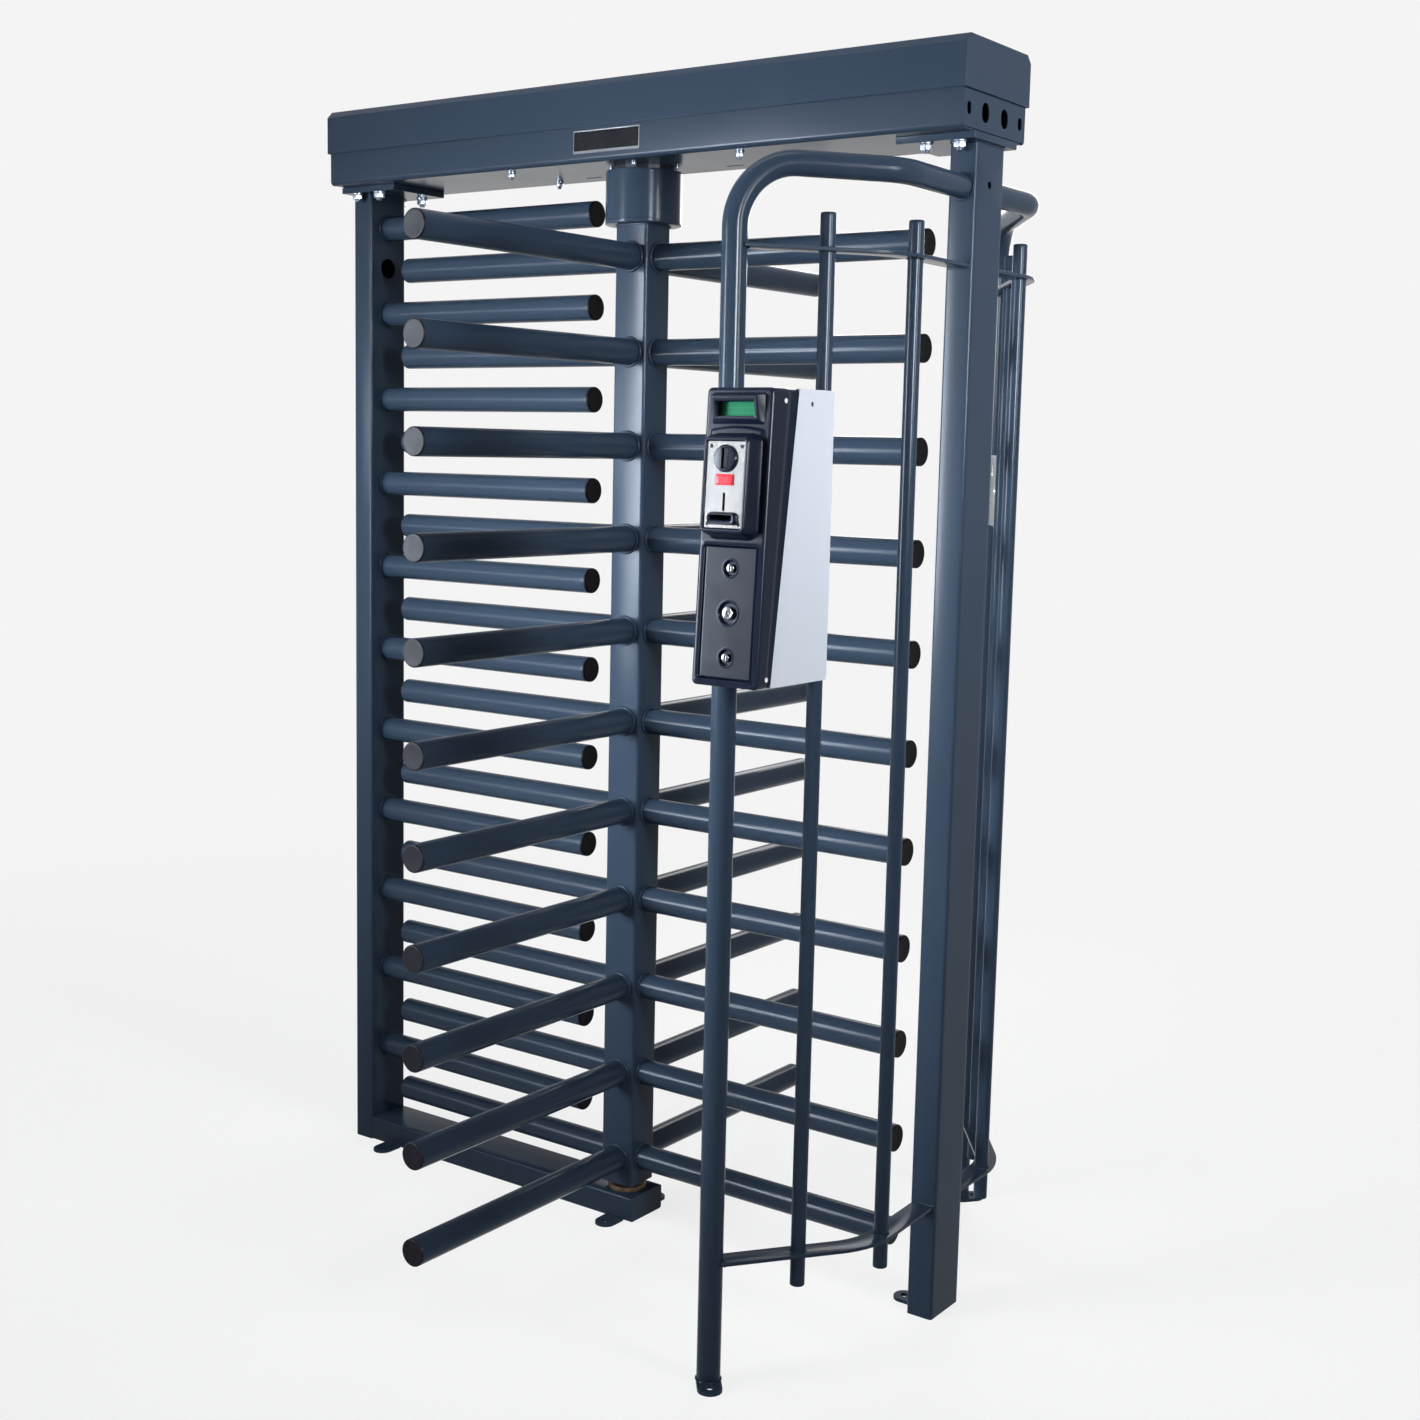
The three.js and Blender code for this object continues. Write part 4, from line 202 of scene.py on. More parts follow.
def look_of(name, colours, grain, gloss, bump, stretch=(1, 1, 1), metallic=0.0, specular=0.5):
    """A finish whose colour runs from dark to light with a fine noise and a broad one, whose
    roughness runs between two values with a third, and whose height follows the bump noise."""
    look = bpy.data.materials.new(name)
    look.use_nodes = True
    tree = look.node_tree
    shader = tree.nodes["Principled BSDF"]
    place = tree.nodes.new("ShaderNodeTexCoord")
    spread = add_node(tree, "ShaderNodeMapping", {
        "Vector": place.outputs["Object"], "Scale": stretch,
    })

    def noise(scale, detail):
        """A noise on the stretched place, between 0 and 1."""
        return add_node(tree, "ShaderNodeTexNoise", {
            "Vector": spread.outputs["Vector"], "Scale": scale, "Detail": detail,
        }).outputs["Fac"]

    share = add_node(tree, "ShaderNodeMix", {
        "Factor": 0.4, "A": noise(grain[0], 3), "B": noise(grain[1], 2),
    })
    ramp = add_node(tree, "ShaderNodeValToRGB", {"Fac": share.outputs["Result"]})
    for stop, position, colour in zip(ramp.color_ramp.elements, (0.34, 0.66), colours):
        stop.position = position
        stop.color = (*colour, 1)
    rough = add_node(tree, "ShaderNodeMapRange", {
        "Value": noise(gloss[2], 4), "From Min": 0.3, "From Max": 0.7,
        "To Min": gloss[0], "To Max": gloss[1],
    })
    relief = add_node(tree, "ShaderNodeBump", {
        "Height": noise(bump[0], 2), "Strength": 1.0, "Distance": bump[1],
    })
    set_inputs(tree, shader, {
        "Base Color": ramp.outputs["Color"], "Roughness": rough.outputs["Result"],
        "Normal": relief.outputs["Normal"], "Metallic": metallic, "Specular IOR Level": specular,
    })
    return look


powder_coat = look_of(
    "slate_blue_powder_coat",
    ((0.0180, 0.0310, 0.0530), (0.0225, 0.0370, 0.0610)),
    grain=(1800, 5), gloss=(0.17, 0.21, 7), bump=(620, 0.00003), specular=0.06,
)


def piece(name, look=powder_coat, body="frame", rings=(), panels=(),
          crease=32, replaces=()):
    """Makes one skin from grids of points. In a ring grid the rows run along and the columns go
    round and close; a panel is open, and shows the cells its mask keeps. Four neighbours make a
    face, points that coincide become one, and all faces are then turned outwards."""
    points, faces, start = [], [], 0
    for grid in rings:
        rows, columns = grid.shape[-3:-1]
        index = start + np.arange(grid.size // 3).reshape(-1, rows, columns)
        beside = np.roll(index, -1, axis=2)
        four = [index[:, :-1], beside[:, :-1], beside[:, 1:], index[:, 1:]]
        faces.append(np.stack(four, axis=-1).reshape(-1, 4))
        points.append(grid.reshape(-1, 3))
        start += grid.size // 3
    for grid, keep in panels:
        index = start + np.arange(grid.size // 3).reshape(grid.shape[:-1])
        four = [index[:-1, :-1], index[1:, :-1], index[1:, 1:], index[:-1, 1:]]
        faces.append(np.stack(four, axis=-1)[keep].reshape(-1, 4))
        points.append(grid.reshape(-1, 3))
        start += grid.size // 3
    mesh = bpy.data.meshes.new(name)
    metres = np.concatenate(points) * 0.001
    mesh.from_pydata(metres.tolist(), [], np.concatenate(faces).tolist())
    build = bmesh.new()
    build.from_mesh(mesh)
    same_within = 0.000002
    bmesh.ops.remove_doubles(build, verts=build.verts, dist=same_within)
    loose = [vert for vert in build.verts if not vert.link_faces]
    bmesh.ops.delete(build, geom=loose, context="VERTS")
    bmesh.ops.recalc_face_normals(build, faces=build.faces)
    build.to_mesh(mesh)
    build.free()
    mesh.polygons.foreach_set("use_smooth", np.ones(len(mesh.polygons), bool))
    mesh.set_sharp_from_angle(angle=np.radians(crease))
    mesh.materials.append(look)
    made = bpy.data.objects.new(name, mesh)
    bpy.context.scene.collection.objects.link(made)
    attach(made, body)
    if replaces:
        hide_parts(*replaces)
    return made


def rounded(half_u, half_v, radius, steps=6):
    """A rectangle with round corners: four quarter arcs, each about a centre set in by the
    radius. The straight sides are the gaps between the arcs. It starts on the +u side."""
    turn = np.linspace(0, np.pi / 2, steps)
    arcs = []
    for quarter, (su, sv) in enumerate([(1, 1), (-1, 1), (-1, -1), (1, -1)]):
        angle = turn + quarter * np.pi / 2
        arcs.append(np.stack([
            su * (half_u - radius) + radius * np.cos(angle),
            sv * (half_v - radius) + radius * np.sin(angle),
        ], axis=-1))
    return np.concatenate(arcs)


def samples(breaks, step):
    """Values from each break to the next, in equal steps no longer than the given one."""
    parts = [
        np.linspace(a, b, int(np.ceil((b - a) / step)) + 1)[:-1]
        for a, b in zip(breaks, breaks[1:])
    ]
    return np.append(np.concatenate(parts), breaks[-1])


def frame_of(us, vs):
    """The points once round the edge of the grid us by vs, anticlockwise and without repeats."""
    low, high = np.full(len(us) - 1, vs[0]), np.full(len(us) - 1, vs[-1])
    left, right = np.full(len(vs) - 1, us[0]), np.full(len(vs) - 1, us[-1])
    return np.concatenate([
        np.stack([us[:-1], low], 1),
        np.stack([right, vs[:-1]], 1),
        np.stack([us[:0:-1], high], 1),
        np.stack([left, vs[:0:-1]], 1),
    ])


def cut_out(us, vs, keep, span):
    """Leaves out a grid's cells inside a span (left, right, lower and upper edge), and gives
    the points round it."""
    slack = 0.001
    in_u = (us > span[0] - slack) & (us < span[1] + slack)
    in_v = (vs > span[2] - slack) & (vs < span[3] + slack)
    keep[np.ix_(in_u[:-1] & in_u[1:], in_v[:-1] & in_v[1:])] = False
    return frame_of(us[in_u], vs[in_v])


def opening(around, centre, half, radius):
    """The edge of a rounded opening, seen from the frame round it: each frame point is held
    within the opening's core, and moved back out from there by the corner radius."""
    core = np.maximum(np.asarray(half, float) - radius, 0)
    held = np.clip(around - centre, -core, core)
    out = around - centre - held
    return centre + held + out * (radius / np.linalg.norm(out, axis=-1, keepdims=True))


def at_height(outline, height):
    """Gives the points of a flat outline one height for all, or a height for each."""
    heights = np.broadcast_to(np.asarray(height, float), len(outline))
    return np.concatenate([outline, heights[:, None]], axis=1)


def layers(*rows):
    """Stacks flat outlines into a grid: each row is an outline (u, v) at its own height w."""
    return np.stack([at_height(outline, height) for outline, height in rows])


def placed(points, origin=(0, 0, 0), u=(1, 0, 0), v=(0, 1, 0), w=(0, 0, 1)):
    """Carries points from their own axes into the object's: origin + u, v and w shares."""
    return np.asarray(origin, float) + points @ np.array([u, v, w], float)


along_x = dict(u=(0, 1, 0), v=(0, 0, 1), w=(1, 0, 0))


def point_row(outline, u=0, v=0):
    """An outline shrunk to one point, which closes a grid there."""
    return np.broadcast_to(np.array([u, v], float), outline.shape)


def slab(outline, low, high, u=0, v=0):
    """A flat block: an outline at two heights, shrunk to the point u, v at both ends."""
    point = point_row(outline, u, v)
    return layers((point, low), (outline, low), (outline, high), (point, high))


def make_post(name, middle_x, hole_height, hole_radius, extra=()):
    """A tube with a round hole in its +X face. That face is a flat grid, left out round the
    hole; there, rows run from a rectangle to the hole's eased edge, through the wall and on
    round the hollow inside. The other three sides are one rounded outline drawn upwards."""
    edge_y = post_half[1] - post_corner
    frame_reach, easing = 40, 0.5
    frame_low, frame_high = hole_height - frame_reach, hole_height + frame_reach
    ys = samples([-edge_y, edge_y], 6)
    zs = np.unique(np.concatenate([[0, post_height], samples([frame_low, frame_high], 6)]))
    y, z = np.meshgrid(ys, zs, indexing="ij")
    face = np.stack([np.full_like(y, post_half[0]), y, z], -1)
    keep = np.ones((len(ys) - 1, len(zs) - 1), bool)
    around = cut_out(ys, zs, keep, (-edge_y, edge_y, frame_low, frame_high))
    centre = np.array([0, hole_height])
    rim = opening(around, centre, (hole_radius, hole_radius), hole_radius)
    eased = opening(around, centre, (hole_radius + easing,) * 2, hole_radius + easing)
    chamber = centre + (around - centre) * ((post_half[1] - post_wall) / edge_y)
    depth = 2 * post_half[0] - post_wall
    hole = layers(
        (around, 0), (eased, 0), (rim, -easing), (rim, -post_wall),
        (chamber, -post_wall), (chamber, -depth), (point_row(around, *centre), -depth),
    )
    hole = placed(hole, (post_half[0], 0, 0), **along_x)
    back = rounded(*post_half, post_corner)
    bent = np.concatenate([np.broadcast_to(back[:, None], (len(back), len(zs), 2)),
                           np.broadcast_to(zs[None, :, None], (len(back), len(zs), 1))], -1)
    whole = np.concatenate([back, np.stack([np.full(len(ys) - 2, post_half[0]), ys[1:-1]], 1)])
    caps = [layers((whole, end), (point_row(whole), end)) for end in (0, post_height)]
    move = np.array([middle_x, 0, 0])
    every = np.ones((len(back) - 1, len(zs) - 1), bool)
    piece(name, rings=[hole + move, *[cap + move for cap in caps], *extra],
          panels=[(face + move, keep), (bent + move, every)], replaces=[name])


def lug_plate(x, y, angle, sink=1.5):
    """A floor tab with a round end and one hole. Rings run from the hole over the eased upper
    edge to the tab's outline and back under it; a ray from the hole meets the outline where it
    first leaves either the straight part or the round end."""
    length, half, thick, hole_radius, setback = 52.0, 21.0, 6.0, 7.0, 20.0
    edge, hole_edge = 1.2, 0.8
    turn = full_turn(72)
    c, s = np.cos(turn), np.sin(turn)
    middle = length - setback
    end = length - half
    offset = middle - end
    to_arc = -offset * c + np.sqrt(np.maximum(half ** 2 - (offset * s) ** 2, 0))
    side = half / np.maximum(np.abs(s), 1e-6)
    back = np.where(c < 0, (middle + sink) / np.maximum(-c, 1e-6), 1e6)
    straight = np.minimum(side, back)
    reach = np.where(middle + to_arc * c >= end, to_arc, straight)
    ray = np.stack([c, s], 1)
    outline = np.array([middle, 0]) + ray * reach[:, None]
    inset = np.array([middle, 0]) + ray * (reach - edge)[:, None]
    hole = np.array([middle, 0]) + ray * hole_radius
    wide = np.array([middle, 0]) + ray * (hole_radius + hole_edge)
    tab = layers((hole, 0), (hole, thick - hole_edge), (wide, thick), (inset, thick),
                 (outline, thick - edge), (outline, 0), (hole, 0))
    along = (np.cos(angle), np.sin(angle), 0)
    across = (-np.sin(angle), np.cos(angle), 0)
    return placed(tab, (x, y, 0), u=along, v=across)


def weld_bead(loop, lift, radius):
    """A rippled seam along a closed line: line + r(s) times (outward cos a + lift sin a), where
    r swells and shrinks by a tenth about every 3.5 mm, as a welder's hand leaves it."""
    ahead_of = np.roll(loop, -1, axis=0)
    step = ahead_of - np.roll(loop, 1, axis=0)
    step = step / np.linalg.norm(step, axis=1, keepdims=True)
    outward = np.cross(step, np.asarray(lift, float))
    ripple_length, ripple_share = 3.5, 0.11
    run = np.concatenate([[0], np.cumsum(np.linalg.norm(ahead_of - loop, axis=1))])
    waves = max(4, round(run[-1] / ripple_length))
    swell = radius * (1 + ripple_share * np.sin(2 * np.pi * waves * run[:-1] / run[-1]))
    angle = full_turn(10)
    seam = (loop[:, None] + swell[:, None, None] * (
        outward[:, None] * np.cos(angle)[None, :, None]
        + np.asarray(lift, float)[None, None] * np.sin(angle)[None, :, None]))
    return np.concatenate([seam, seam[:1]])


def ring_line(radius, origin, u, v, steps=88):
    """A circle as a line of points: origin + radius (u cos t + v sin t)."""
    turn = full_turn(steps)[:, None]
    return np.asarray(origin, float) + radius * (np.cos(turn) * np.array(u, float)
                                                 + np.sin(turn) * np.array(v, float))


def line_of(outline, origin=(0, 0, 0), **axes):
    """A flat outline as a closed line of points, carried to its place."""
    return placed(layers((outline, 0))[0], origin, **axes)


def welds(name, seams, body="frame"):
    """Weld beads as one piece, under the same coat as the parts that they join."""
    piece(name, body=body, rings=seams, crease=60)


make_post("left_post", -post_middle, **cable_hole)
make_post("right_post", post_middle, **bolt_hole, extra=[lug_plate(post_inner, 0, np.pi)])

# Floor rail
# A length of the same tube laid flat from the left post to just past the rotor, closed with a
# welded plate. Four floor tabs with anchor holes are welded to its two sides.
rail_start, rail_end = -post_inner, 50.0
rail_half = (50, 25)
rail_outline = rounded(*rail_half, 5)
rail_axis = [0, rail_half[1]]
rail = layers(
    (point_row(rail_outline, *rail_axis), rail_start), (rail_outline + rail_axis, rail_start),
    (rail_outline + rail_axis, rail_end - 0.8), (rail_outline * 0.985 + rail_axis, rail_end),
    (point_row(rail_outline, *rail_axis), rail_end),
)
tab_places = [(x, side) for x in (-610, 10) for side in (-1, 1)]
rail_tabs = [lug_plate(x, side * rail_half[0], side * np.pi / 2) for x, side in tab_places]
piece("floor_rail", rings=[placed(rail, **along_x), *rail_tabs], replaces=["base_rail"])
tab_line = rounded(20, 1.2, 1.2)
tab_weld_level, tab_weld_radius = 5.8, 1.7
tab_seams = [
    weld_bead(line_of(tab_line, (x, side * (rail_half[0] + 0.5), tab_weld_level),
                      v=(0, 0, 1), w=(0, side, 0)), (0, side, 0), tab_weld_radius)
    for x, side in tab_places
]
post_tab_seam = weld_bead(
    line_of(tab_line, (post_inner - 0.5, 0, tab_weld_level), u=(0, 1, 0), v=(0, 0, 1),
            w=(-1, 0, 0)), (-1, 0, 0), tab_weld_radius)
welds("tab_welds", [*tab_seams, post_tab_seam])

# Head plates and their bolts
# A 12 mm plate is welded on each post and bolted up to the beam with four zinc-plated bolts.
# Each bolt shows a washer, a nut and a short threaded end under the plate.
bolt_places = [(x, y) for x in (700.0, 638.0) for y in (-63.0, 63.0)]
head_plate_middle, head_plate_half, head_plate_thick = 660.0, 75, 12
zinc = look_of(
    "zinc_plating", ((0.15, 0.17, 0.20), (0.26, 0.29, 0.33)),
    grain=(260, 40), gloss=(0.20, 0.42, 120), bump=(500, 0.00004), metallic=1.0,
)


def head_plate(side):
    """A square plate with round corners, whose upper and lower edges are eased by 0.8 mm."""
    outline = rounded(head_plate_half, head_plate_half, 2.5)
    eased = rounded(head_plate_half - 0.8, head_plate_half - 0.8, 2)
    plate = layers(
        (point_row(outline), 0), (eased, 0), (outline, 0.8), (outline, head_plate_thick - 0.8),
        (eased, head_plate_thick), (point_row(outline), head_plate_thick),
    )
    return placed(plate, (side * head_plate_middle, 0, post_height))


def turned(profile, steps=48):
    """A profile of (radius, height) pairs carried once round the w axis."""
    profile = np.array(profile, float)
    turn = full_turn(steps)
    radius, height = profile[:, :1], profile[:, 1:]
    return np.stack([radius * np.cos(turn), radius * np.sin(turn),
                     np.broadcast_to(height, (len(profile), steps))], -1)


def bolt_end(x, y, z, across_flats, thickness, thread):
    """A washer, a hexagonal nut and a thread end that hang from z. The nut's radius is that of
    a hexagon, limited near both faces by a cone; the thread's radius ripples with height."""
    washer_radius, seat = across_flats * 0.63, 2.3
    washer = turned([(0, 0), (washer_radius - 0.3, 0), (washer_radius, -0.3),
                     (washer_radius, 0.3 - seat), (washer_radius - 0.3, -seat), (0, -seat)], 40)
    turn = full_turn(48)
    hexagon = across_flats / 2 / np.cos((turn % (np.pi / 3)) - np.pi / 6)
    near_seat = np.array([0, 0, 0.7, 1.4])
    levels = -seat - np.concatenate([near_seat, thickness - near_seat[::-1]])
    limit = across_flats / 2 * np.array([0, 0.98, 1.06, 1.16, 1.16, 1.06, 0.98, 0])
    radius = np.minimum(hexagon[None], limit[:, None])
    nut = np.stack([radius * np.cos(turn), radius * np.sin(turn),
                    np.broadcast_to(levels[:, None], radius.shape)], -1)
    heights = np.linspace(0, 5.5, 23)
    pitch, ripple = 1.5, 0.35
    ridge = thread - ripple + ripple * np.cos(2 * np.pi * heights / pitch)
    ridge[-3:] -= [0.3, 0.7, 1.2]
    hang = 0.5 - seat - thickness - heights
    pairs = [(0, -2.0), *zip(ridge, hang), (0, hang[-1])]
    return [grid + np.array([x, y, z]) for grid in (washer, nut, turned(pairs, 28))]


head_nut = dict(across_flats=19, thickness=10, thread=6)
head_bolts = []
for side, name in ((-1, "left_head_plate"), (1, "right_head_plate")):
    piece(f"{name}_steel", rings=[head_plate(side)], replaces=[name])
    for x, y in bolt_places:
        head_bolts += bolt_end(side * x, y, post_height, **head_nut)
piece("head_plate_bolts", zinc, "frame", rings=head_bolts)
post_line = rounded(post_half[0] + 0.5, post_half[1] + 0.5, post_corner + 0.5)
post_top_seams = [
    weld_bead(line_of(post_line, (side * post_middle, 0, post_height - 0.6)), (0, 0, -1), 1.8)
    for side in (-1, 1)
]
welds("post_top_welds", post_top_seams)

# Comb
# Eleven round tubes are welded to the left post and reach almost to the column. Each free end
# is closed with a black plastic plug with a rounded edge.
tube_radius = 25.0
arm_pitch = 176.5
lowest_arm, arm_count = 120.0, 11
arm_levels = lowest_arm + arm_pitch * np.arange(arm_count)
black_plug = look_of(
    "black_plug_plastic", ((0.0034, 0.0032, 0.0060), (0.0060, 0.0057, 0.0105)),
    grain=(900, 30), gloss=(0.38, 0.46, 60), bump=(420, 0.00004), specular=0.07,
)


def tube_with_end(start, end, radius):
    """A straight tube along w: a wall with an eased free end, open only where the plug sits."""
    return turned([
        (0, start), (radius, start), (radius, end - 4), (radius, end - 0.9),
        (radius - 0.3, end - 0.25), (radius - 0.9, end), (0, end),
    ], 56)


def end_plug(end, radius, length):
    """A plug's flange: a flat disc, very slightly dished, whose edge rolls over to its side."""
    outer, edge_radius = radius - 0.15, 2.2
    roll = np.linspace(0, np.pi / 2, 6)
    edge = edge_radius * np.stack([np.sin(roll), np.cos(roll)], 1) + [outer, end] - edge_radius
    return turned([(0, end - 0.5), (radius * 0.55, end - 0.4), (radius * 0.8, end - 0.1), *edge,
                   (outer, end - length), (0, end - length)], 56)


comb_start, comb_end = -post_inner, -111.0
flange_depth, plug_length = 3.2, 3.5
comb_shift = np.zeros((arm_count, 1, 1, 3))
comb_shift[:, 0, 0, 2] = arm_levels + arm_pitch / 2
comb_tube = placed(tube_with_end(comb_start, comb_end - flange_depth, tube_radius), **along_x)
comb_plug = placed(end_plug(comb_end, tube_radius, plug_length), **along_x)
comb_seam = weld_bead(ring_line(tube_radius + 1.2, (comb_start + 1, 0, 0), (0, 1, 0), (0, 0, 1)),
                      (1, 0, 0), 2.6)
comb_names = [f"comb_bar_{number:02d}" for number in range(1, arm_count + 1)]
piece("comb_tubes", rings=[comb_tube + comb_shift], replaces=comb_names)
piece("comb_plugs", black_plug, "frame", rings=[comb_plug + comb_shift])
welds("comb_welds", [comb_seam + comb_shift])

# Foot pivot
# A bronze thrust washer lies on the rail under the column, and a flanged bush in the column
# turns on a steel pin. Grease and dust have browned what shows of them.
browned_bronze = look_of(
    "browned_bronze", ((0.045, 0.026, 0.016), (0.14, 0.085, 0.045)),
    grain=(90, 14), gloss=(0.35, 0.6, 40), bump=(220, 0.00008), metallic=0.75,
)
bare_steel = look_of(
    "bare_steel", ((0.30, 0.30, 0.31), (0.46, 0.46, 0.47)),
    grain=(160, 12), gloss=(0.24, 0.42, 60), bump=(300, 0.00004), metallic=1.0,
)


def refinish(look, *nodes):
    """Gives nodes that keep their own shape another finish."""
    for node in nodes:
        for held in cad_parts[node].material_slots:
            held.material = look


washer_profile = [(14.3, 50), (37.2, 50), (38, 50.8), (38, 58.2), (37.2, 59), (14.3, 59),
                  (14.3, 50)]
bush_profile = [(14.6, 59.3), (24.9, 59.3), (25.6, 60), (25.6, 64.6), (24.9, 65.3), (19.8, 65.3),
                (19.8, 73.6), (14.6, 73.6), (14.6, 59.3)]
piece("thrust_washer", browned_bronze, "frame", rings=[turned(washer_profile, 72)],
      replaces=["foot_thrust_washer"])
piece("bush", browned_bronze, "rotor", rings=[turned(bush_profile, 64)],
      replaces=["foot_bush"])
refinish(bare_steel, "foot_pin")

# Rotor
# A square column carries four wings of eleven round tubes, each welded all round to a face of
# the column. Every tube ends in the same black plug as the comb's bars.
column_half = 37.5
arm_reach = 615.0
column_low, column_high = 65.6, 1945.0
column_outline = rounded(column_half, column_half, 6)
column_eased = rounded(column_half - 0.8, column_half - 0.8, 5.2)
column = layers(
    (point_row(column_outline), column_low), (column_eased, column_low),
    (column_outline, column_low + 0.8), (column_outline, column_high),
    (point_row(column_outline), column_high),
)
piece("column", body="rotor", rings=[column], replaces=["rotor"])


def on_every_arm(grid):
    """Copies a grid that is made on the +X arm's axis to all 44 arms: turned by quarters
    about the column's axis and lifted to each level."""
    quarter = np.arange(4) * np.pi / 2
    c, s = np.round(np.cos(quarter)), np.round(np.sin(quarter))
    spin = np.zeros((4, 3, 3))
    spin[:, 0, 0], spin[:, 0, 1], spin[:, 1, 0], spin[:, 1, 1], spin[:, 2, 2] = c, s, -s, c, 1
    wings = np.einsum("rnk,qkj->qrnj", grid, spin)
    lifted = wings[:, None] + arm_levels[None, :, None, None, None] * np.array([0, 0, 1.0])
    return lifted.reshape(-1, *grid.shape)


arm = placed(tube_with_end(column_half - 1, arm_reach - flange_depth, tube_radius), **along_x)
arm_plug = placed(end_plug(arm_reach, tube_radius, plug_length), **along_x)
arm_seam = weld_bead(ring_line(tube_radius + 1.3, (column_half + 0.8, 0, 0), (0, 1, 0), (0, 0, 1)),
                     (1, 0, 0), 3.2)
piece("rotor_arms", body="rotor", rings=[on_every_arm(arm)])
piece("rotor_plugs", black_plug, "rotor", rings=[on_every_arm(arm_plug)])
welds("rotor_welds", [on_every_arm(arm_seam)], body="rotor")

# Hub cup, shaft and upper bearing
# A round cup of thick tube stands on the column and hides the shaft and the bearing housing.
# The housing hangs from the beam's floor on four small screws that show in the gap.
cup_radius, cup_inner, cup_low, cup_high = 72, 68, column_high, 2043
cup_profile = [
    (0, cup_low), (cup_radius - 1.5, cup_low), (cup_radius - 0.4, cup_low + 0.4),
    (cup_radius, cup_low + 1.4), (cup_radius, cup_low + 6.2), (cup_radius - 0.5, cup_low + 6.7),
    (cup_radius - 0.5, cup_low + 7.3), (cup_radius, cup_low + 7.8), (cup_radius, cup_low + 11),
    (cup_radius, cup_high - 4), (cup_radius, cup_high - 1), (cup_radius - 0.4, cup_high - 0.2),
    (cup_radius - 1.2, cup_high), (cup_inner + 0.8, cup_high), (cup_inner, cup_high - 0.6),
    (cup_inner, cup_low + 5), (0, cup_low + 5),
]
piece("cup", body="rotor", rings=[turned(cup_profile, 112)], replaces=["hub_cup"])
column_line = rounded(column_half + 0.5, column_half + 0.5, 6.5)
column_seam = weld_bead(line_of(column_line, (0, 0, column_high - 0.4)), (0, 0, -1), 2.4)
welds("column_top_weld", [column_seam], body="rotor")
oiled_steel = look_of(
    "oiled_dark_steel", ((0.008, 0.008, 0.010), (0.022, 0.022, 0.026)),
    grain=(160, 12), gloss=(0.28, 0.42, 60), bump=(300, 0.00004), metallic=0.6, specular=0.2,
)
refinish(oiled_steel, "bearing_housing")
refinish(bare_steel, "rotor_shaft", "top_bearing")
beam_floor, screw_circle = 2052.0, 64
screw_head = turned([
    (0, beam_floor), (4.6, beam_floor), (4.6, beam_floor - 3), (3.6, beam_floor - 4.4),
    (1.6, beam_floor - 4.6), (1.4, beam_floor - 3.4), (0, beam_floor - 3.4),
], 24)
gap_screws = [
    screw_head + np.array([screw_circle * np.cos(turn), screw_circle * np.sin(turn), 0])
    for turn in np.radians([20, 110, 200, 290])
]
piece("gap_screws", zinc, "frame", rings=gap_screws)

# Beam tray
# A tray folded from 2.5 mm sheet spans the two posts, with round bends along its lower edges.
# Its end plates have upright cable slots, and its floor slots and the bolts of the lock plate.
tray_side, tray_base, tray_rim = 110.0, beam_floor, 2175.0
tray_sheet, tray_bend = 2.5, 9.0
tray_end = 730.0


def tray_wall(side):
    """One bent side wall: the section runs up its outer face from the floor through a round
    bend, crosses the rim and comes back inside; it closes at both ends onto its own middle."""
    turn = np.linspace(0, np.pi / 2, 9)
    centre = np.array([tray_side - tray_bend, tray_base + tray_bend])
    bend = np.stack([np.sin(turn), -np.cos(turn)], 1)
    outer = np.concatenate([centre + tray_bend * bend, [[tray_side, tray_rim]]])
    inner = np.concatenate([centre + (tray_bend - tray_sheet) * bend,
                            [[tray_side - tray_sheet, tray_rim]]])
    loop = np.concatenate([outer, inner[::-1]])
    core = (outer + inner) / 2
    fold = np.concatenate([core, core[::-1]])
    wall = layers((fold, -tray_end), (loop, -tray_end), (loop, tray_end), (fold, tray_end))
    return placed(wall, **dict(along_x, u=(0, side, 0)))


def pierced_sheet(us, vs, holes, depth):
    """A flat sheet with openings, in two layers. Its points are the products of us and vs. The
    cells inside each opening's frame give way to a ring from the frame to the opening's edge,
    down through the sheet and back out, so that all neighbours share their points."""
    u, v = np.meshgrid(us, vs, indexing="ij")
    sheet = np.stack([u, v, np.zeros_like(u)], -1)
    keep = np.ones((len(us) - 1, len(vs) - 1), bool)
    rings = []
    for span, centre, half, radius in holes:
        around = cut_out(us, vs, keep, span)
        rim = opening(around, np.array(centre, float), half, radius)
        rings.append(layers((around, 0), (rim, 0), (rim, -depth), (around, -depth)))
    outer = frame_of(us, vs)
    rings.append(layers((outer, 0), (outer, -depth)))
    return rings, [(sheet, keep), (sheet - np.array([0, 0, depth]), keep)]


def put(parts, origin, **axes):
    """Carries the rings and panels of a pierced sheet to their place."""
    rings, panels = parts
    return ([placed(ring, origin, **axes) for ring in rings],
            [(placed(panel, origin, **axes), keep) for panel, keep in panels])


